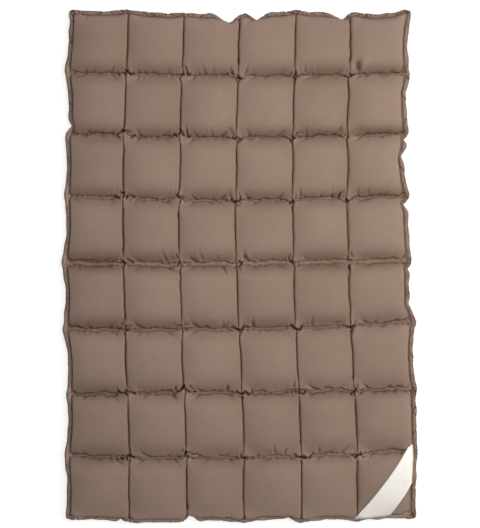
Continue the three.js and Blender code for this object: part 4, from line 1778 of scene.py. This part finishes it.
    def painted_light_and_shade(self, section: Array) -> Array:
        """The painted shade on the strip: in its pleats and along its seam, less its painted light.

        The painted light is a half sine over its reach on the left edge, fainter on the right edge,
        and even on the head and foot edges. It falls off at the fold as the sixth power of the reach's
        share.

        Args:
            section: the section's points.

        Returns:
            The painted shade, below 0 where light is painted, row by column.
        """
        line, outer = self.line, self.outer(section[:, 0])
        out_x, out_y = line.out[:, :1], line.out[:, 1:]
        at_fold = outer**6
        # painted shade in the groove by the lips
        groove = 0.1 * bell(section[:, 0] - self.lip, 1.8) * (section[:, 1] > 0)
        # painted shade in the pleats
        pleat = 0.65 + 0.2 * np.clip(np.maximum(out_x, out_y), 0, 1)
        pleat = self.tucks(line.share, outer) * pleat
        # painted light where the strip faces the lamps, less towards its fold
        on_left = 0.6 * np.sin(np.pi * (0.75 * outer + 0.2)) - 0.5 * at_fold
        on_right = 0.1 * np.sin(np.pi * outer) - 0.35 * at_fold
        light = np.where(out_x > 0, on_right, on_left) * np.abs(out_x)
        light = light + (np.where(out_y > 0, 0.05, 0.42) - 0.3 * at_fold) * np.abs(out_y)
        # painted shade at the corners' folds
        light = light - 0.8 * self.mitre(out_x, out_y) * (1 - outer)
        # painted shade at the quilting seams' ends
        return np.maximum(groove, 0.2 * line.at_seam[:, None]) + pleat - light

    def build(self, material: bpy.types.Material) -> bpy.types.Object:
        """Carries the section round the edge and closes it into one strip.

        Args:
            material: the strip's finish.

        Returns:
            The strip's object.
        """
        section = self.section()
        points = self.surface(self.line.share, section[:, 0], section[:, 1])
        index = np.arange(points[..., 0].size).reshape(points.shape[:2])
        index = np.pad(index, ((0, 1), (0, 1)), "wrap")
        run = self.line.share[:, None] * self.line.length
        flat = np.stack(np.broadcast_arrays(run, run_of(section)), -1)
        return make_piece("edge_strip", points.reshape(-1, 3), [grid_faces(index)], material,
                          flat.reshape(-1, 2) * METRE, {SHADE_AND_EDGE_MARK: self.painted_light_and_shade(section)})

    def stitch_row(self, reach: float, face: int) -> tuple[Array, Array]:
        """A row of sewing along the strip.

        Args:
            reach: the row's distance from the edge seam.
            face: 1 for the upper side, -1 for the lower side.

        Returns:
            The places round the edge, and the ways out of the cloth.
        """
        share = np.append(self.line.share, 1.0)
        rise = face * (CLOTH_SEAM / 2 + self.gap + self.cloth + 0.35)
        places = self.surface(share, np.array([reach]), np.array([rise]))[:, 0]
        return places, np.tile([0.0, 0.0, float(face)], (len(places), 1))


@dataclass
class CornerLabel:
    """A ribbon laid across the corner pocket at the foot's right, its ends caught by the binding."""

    cloth: SewnCloth
    right: Pair = (-344.0, -419.0)  # where its inner and outer edges end, as y on the right
    foot: Pair = (222.5, 292.0)  # and as x on the foot edge
    bow: float = 3.0  # how far its inner edge is drawn to the corner midway
    lift: float = 0.5  # its height above the cloth
    thick: float = 0.8
    thin: float = 0.2  # its thickness in the binding
    tuck: float = 3.5  # how far its ends run on under the binding
    blunt: Pair = (6.5, 0.12)  # how far its upper end is cut back, and over what share
    curl: Pair = (0.5, 0.06)  # how far its edges curl up, and over what share
    darker_edge: float = 0.03  # how far the deeper colour along its edges reaches, as a share of its width
    end_share: float = 0.06  # the share of its length over which its ends go thin
    taut: Pair = (0.3, 0.12)  # how fast it is pulled straight along and across
    rounds: int = 400
    weave: Pair = (180.0, 49.0)  # the length and width that its weave is laid out over
    along: int = 110  # steps along it
    across: int = 36

    def outline(self) -> tuple[Array, Array]:
        """The ribbon's plan: straight lines from the right edge to the foot edge, the inner one bowed.

        Returns:
            The x and the y, across by along.
        """
        plan = self.cloth.plan
        band = np.linspace(0, 1, self.across + 1)[:, None]
        run = np.linspace(0, 1, self.along + 1)[None, :]
        end_y = self.right[0] + (self.right[1] - self.right[0]) * band
        end_x = self.foot[0] + (self.foot[1] - self.foot[0]) * band
        edge_x = np.interp(-end_y, -plan.y[:, -1], plan.x[:, -1]) + self.tuck
        edge_x -= self.blunt[0] * np.clip(1 - band / self.blunt[1], 0, 1)
        edge_y = np.interp(end_x, plan.x[-1], plan.y[-1]) - self.tuck - label_slip(end_x)
        bow = self.bow * 4 * run * (1 - run) * (1 - band) ** 2
        x = edge_x * (1 - run) + end_x * run + 0.8 * bow
        y = end_y * (1 - run) + edge_y * run - 0.6 * bow
        return x, y

    def cloth_height(self, x: Array, y: Array, cell: float = 2.0) -> Array:
        """The cloth's highest point over each place in the corner pocket.

        The pocket is sampled finely and sorted into square cells, and each cell keeps its highest.

        Args:
            x: places across.
            y: places along.
            cell: the size of a cell.

        Returns:
            The height over each place, blended between cells.
        """
        points, room = self.cloth.corner_pocket(280).reshape(-1, 3), 8 * cell
        low = points[:, :2].min(0) - room
        count = np.ceil((points[:, :2].max(0) + room - low) / cell).astype(int) + 2
        heights = np.full(count, EDGE_HEIGHT + CLOTH_SEAM / 2)
        at = np.floor((points[:, :2] - low) / cell).astype(int)
        np.maximum.at(heights, (at[:, 0], at[:, 1]), points[:, 2])
        at_x, at_y = (x - low[0]) / cell - 0.5, (y - low[1]) / cell - 0.5
        i, j = np.floor(at_x).astype(int), np.floor(at_y).astype(int)
        return bilinear(heights.T, j, i, at_x - i, at_y - j)

    def surface(self) -> Array:
        """The ribbon's underside: pulled taut over the cloth from end to end.

        Each round moves a point's height to the middle of its neighbours', or up to the cloth.

        Returns:
            The points, across by along.
        """
        x, y = self.outline()
        floor = self.cloth_height(x, y)
        z = floor.copy()
        z[:, -1] = EDGE_HEIGHT + CLOTH_SEAM / 2
        free = np.clip(1 - np.linspace(0, 1, len(z)) / self.blunt[1], 0, 1)
        z[:, 0] = floor[:, 0] * free + z[:, -1] * (1 - free)
        along, across = self.taut
        for _ in range(self.rounds):
            mean = z.copy()
            mean[:, 1:-1] += along * (z[:, 2:] + z[:, :-2] - 2 * z[:, 1:-1])
            mean[1:-1, 1:-1] += across * (z[2:, 1:-1] + z[:-2, 1:-1] - 2 * z[1:-1, 1:-1])
            z[:, 2:-2] = np.maximum(mean, floor)[:, 2:-2]
            z[:, [1, -2]] = mean[:, [1, -2]]
        return np.stack([x, y, z], -1)

    def build(self, material: bpy.types.Material) -> bpy.types.Object:
        """Makes the ribbon: an upper and a lower face, thin at the ends that lie in the binding.

        Args:
            material: the ribbon's finish.

        Returns:
            The ribbon's object.
        """
        under = self.surface()
        rows, columns = under.shape[:2]
        run = np.linspace(0, 1, columns)
        body = smooth_step(np.clip(np.minimum(run, 1 - run) / self.end_share, 0, 1))
        band = np.linspace(0, 1, rows)[:, None]
        edge = np.minimum(band, 1 - band)
        under[..., 2] += 0.05 + self.lift * body + peak(self.curl, edge) * body
        over = under.copy()
        over[..., 2] += self.thin + (self.thick - self.thin) * body
        index = np.arange(rows * columns).reshape(rows, columns)
        rim = np.concatenate([index[:-1, 0], index[-1, :-1], index[:0:-1, -1], index[0, :0:-1]])
        faces = [
            grid_faces(index + index.size)[:, ::-1],
            grid_faces(index),
            ring_faces(rim + index.size, rim),
        ]
        points = np.concatenate([under.reshape(-1, 3), over.reshape(-1, 3)])
        flat = np.stack(np.broadcast_arrays(self.weave[0] * run, self.weave[1] * band), -1)
        darker_edge = np.repeat(bell(edge, self.darker_edge), columns)
        return make_piece("ribbon_label", points, faces, material,
                          np.tile(flat.reshape(-1, 2) * METRE, (2, 1)),
                          {SHADE_AND_EDGE_MARK: np.tile(darker_edge, 2)})


@dataclass
class Stitches:
    """Rows of short threads, each a small bow that leaves the cloth and goes back into it."""

    length: float = 2.5
    pitch: float = 3.3
    radius: float = 0.28
    bow: float = 0.25  # how far a thread bows out midway
    sides: int = 5
    rings: tuple[Pair, ...] = ((0.0, 0.45), (0.3, 1.0), (0.7, 1.0), (1.0, 0.45))  # place and girth

    def threads(self, starts: Array, ends: Array, up: Array) -> Array:
        """Makes the points of many threads at once.

        A thread's middle line is the chord from start to end plus the bow times a half sine, and
        its radius is largest midway.

        Args:
            starts: where each thread leaves the cloth.
            ends: where it goes back.
            up: the way out of the cloth there.

        Returns:
            The points of all threads, ring by ring.
        """
        along = unit(ends - starts)
        side = unit(np.cross(along, up))
        out = np.cross(side, along)
        share, girth = np.array(self.rings).T
        turn = 2 * np.pi * np.arange(self.sides) / self.sides
        middle = starts[:, None] + (ends - starts)[:, None] * share[:, None]
        middle = middle + out[:, None] * (self.bow * np.sin(np.pi * share))[:, None]
        ring = side[:, None] * np.cos(turn)[:, None] + out[:, None] * np.sin(turn)[:, None]
        points = middle[:, :, None] + ring[:, None] * (girth * self.radius)[:, None, None]
        return points.reshape(-1, 3)

    def faces(self, count: int) -> list[Ints]:
        """The faces of many threads, as point numbers.

        Args:
            count: how many threads there are.

        Returns:
            Their side faces, and the faces at their two ends.
        """
        index = np.arange(len(self.rings) * self.sides).reshape(-1, self.sides)
        sides = grid_faces(np.pad(index, ((0, 0), (0, 1)), "wrap"))
        first = np.arange(count)[:, None, None] * index.size
        groups = (sides, index[:1], index[-1:, ::-1])
        return [(group + first).reshape(-1, group.shape[1]) for group in groups]

    def build(self, name: str, rows: Sequence[tuple[Array, Array]], material: bpy.types.Material
              ) -> bpy.types.Object:
        """Sews threads along rows of places.

        Args:
            name: the piece's name.
            rows: for each row of sewing, its places in order and the ways out of the cloth.
            material: the thread's finish.

        Returns:
            The joined threads, as one object.
        """
        sewn = []
        for places, up in rows:
            run = run_of(places)
            at = np.arange(0.5 * self.pitch, run[-1] - self.length, self.pitch)
            starts, ends = placed(at, run, places), placed(at + self.length, run, places)
            sewn.append((starts, ends, unit(placed(at, run, up))))
        starts, ends, ups = (np.concatenate(group) for group in zip(*sewn))
        return make_piece(name, self.threads(starts, ends, ups), self.faces(len(starts)), material)


@dataclass(frozen=True)
class Lamp:
    """A square area light, aimed at the duvet's middle: its place and size in metres, and watts."""

    name: str
    place: Triple
    size: float
    power: float


@dataclass
class Studio:
    """The pale floor, the soft lights and the camera straight above."""

    photo_scale: float = 1.945  # millimetres of the duvet's edge for one picture point
    picture: tuple[int, int] = (480, 528)
    centre: Pair = (1.3, 3.2)  # the picture's middle, in the duvet's frame
    lens: float = 100.0
    sensor: float = 36.0
    floor_reach: float = 6000.0
    floor_height: float = -0.4  # just under the duvet
    room_light: float = 0.35
    lamps: tuple[Lamp, ...] = (
        Lamp("key", (2.9, 0.4, 2.05), 1.4, 68.7), Lamp("above", (0.25, 0.25, 1.03), 1.0, 8.6))

    def floor(self) -> None:
        """A wide plain floor just under the duvet."""
        square = np.array([[-1, -1, 0], [1, -1, 0], [1, 1, 0], [-1, 1, 0]])
        corners = square * self.floor_reach + [0, 0, self.floor_height]
        made = make_piece("floor", corners, [np.arange(4)[None]], FloorFinish().make())

    def light(self, lamp: Lamp) -> None:
        """Hangs one lamp.

        Args:
            lamp: the lamp's place, size and power.
        """
        data = bpy.data.lights.new(lamp.name, "AREA")
        data.size = lamp.size
        data.energy = lamp.power
        made = bpy.data.objects.new(lamp.name, data)
        made.location = lamp.place
        made.rotation_euler = (-Vector(lamp.place)).to_track_quat("-Z", "Y").to_euler()
        bpy.context.scene.collection.objects.link(made)

    def room(self) -> None:
        """An even white room."""
        room = bpy.data.worlds.new("room")
        room.use_nodes = True
        back = room.node_tree.nodes["Background"]
        back.inputs["Color"].default_value = (1, 1, 1, 1)
        back.inputs["Strength"].default_value = self.room_light
        bpy.context.scene.world = room

    def camera(self) -> None:
        """A long lens straight above, framed as the picture is."""
        lens = bpy.data.cameras.new("camera")
        lens.lens = self.lens
        lens.sensor_width = self.sensor
        high = max(self.picture) * self.photo_scale * self.lens / self.sensor + EDGE_HEIGHT
        made = bpy.data.objects.new("camera", lens)
        made.location = [place * METRE for place in (*self.centre, high)]
        bpy.context.scene.collection.objects.link(made)
        bpy.context.scene.camera = made

    def build(self) -> None:
        """Sets the whole studio up."""
        self.floor()
        for lamp in self.lamps:
            self.light(lamp)
        self.room()
        self.camera()
        bpy.context.scene.view_settings.view_transform = "Standard"


@dataclass
class Duvet:
    """The whole duvet: its cover, binding, label and stitches."""

    colour: Triple = (0.372, 0.279, 0.223)
    deep: Triple = (0.075, 0.026, 0.010)  # the colour of the deepest painted shade in the seams
    bias_painted_shade: float = 0.09  # how much painted shade darkens the binding, a shaded copy of the cotton
    bias_turn: float = 45.0  # the angle at which its strip is cut, in degrees
    edge_row: float = 2.4  # edge seam to the row of sewing along the binding
    off_cloth: float = 0.1  # the threads' height above the cloth

    def __post_init__(self) -> None:
        """Solves the cloth that every piece lies on."""
        self.cloth = SewnCloth(QuiltPlan(PocketGrid(42, 32, 0.36, 0.48)))
        self.line = EdgeLine(self.cloth.plan)
        self.quilted = QuiltedCover(self.cloth)
        self.binding = EdgeBinding(self.line)

    def build(self) -> list[bpy.types.Object]:
        """Returns:
            The pieces.
        """
        cotton = CottonFinish("taupe_cotton", self.colour, self.deep)
        # the binding's cotton, cut on the bias and darkened by painted shade
        bias = CottonFinish("taupe_bias", self.colour, self.deep,
                            turn=math.radians(self.bias_turn), shade=self.bias_painted_shade)
        cover = self.quilted.build(cotton.make())
        strip = self.binding.build(bias.make())
        label = CornerLabel(self.cloth).build(RibbonFinish().make())
        thread = ThreadFinish().make()
        edge_rows = [self.binding.stitch_row(self.edge_row, face) for face in (1, -1)]
        edge_thread = Stitches().build("edge_stitches", edge_rows, thread)
        quilt_thread = Stitches().build("quilting_stitches", self.quilting_rows(), thread)
        slots = {cover: "taupe_cotton", strip: "taupe_bias", label: "cream_ribbon",
                 edge_thread: "taupe_bias", quilt_thread: "taupe_cotton"}
        for piece, slot in slots.items():
            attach(piece, BODY)
        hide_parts("quilted_cover")
        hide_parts("edge_binding")
        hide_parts("corner_label")
        return list(slots)

    def quilting_rows(self) -> list[tuple[Array, Array]]:
        """Rows of sewing along the folds, and along all seams of the underside.

        Returns:
            For each row, its places and the ways out of the cloth.
        """
        g, cloth, quilted = self.cloth.grid, self.cloth, self.quilted
        fold_out, under_out = [0.0, -0.3, 1.0], [0.0, 0.0, -1.0]
        under = quilted.coarse(cloth.underside()) - [0, 0, self.off_cloth]
        lines = []
        for last in g.last_rows[:-1]:
            lines.append((cloth.points[last + g.fold_rows] + [0, 0, self.off_cloth], fold_out))
            lines.append((under[last // quilted.step_down + 1], under_out))
        step = g.across // quilted.step_across
        lines += [(under[:, column], under_out) for column in range(step, under.shape[1] - 1, step)]
        return [(line, np.tile(out, (len(line), 1))) for line, out in lines]


def report(piece: bpy.types.Object) -> None:
    """Logs a piece's name and how many triangles it has."""
    piece.data.calc_loop_triangles()
    LOG.info("%s: %d triangles", piece.name, len(piece.data.loop_triangles))


def main() -> None:
    """Builds the duvet and its studio, and reports each piece."""
    logging.basicConfig(level=logging.INFO, format="%(name)s: %(message)s")
    for piece in Duvet().build():
        report(piece)
    Studio().build()
    LOG.info("built on %d solids", len(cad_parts))


if __name__ == "__main__":
    main()
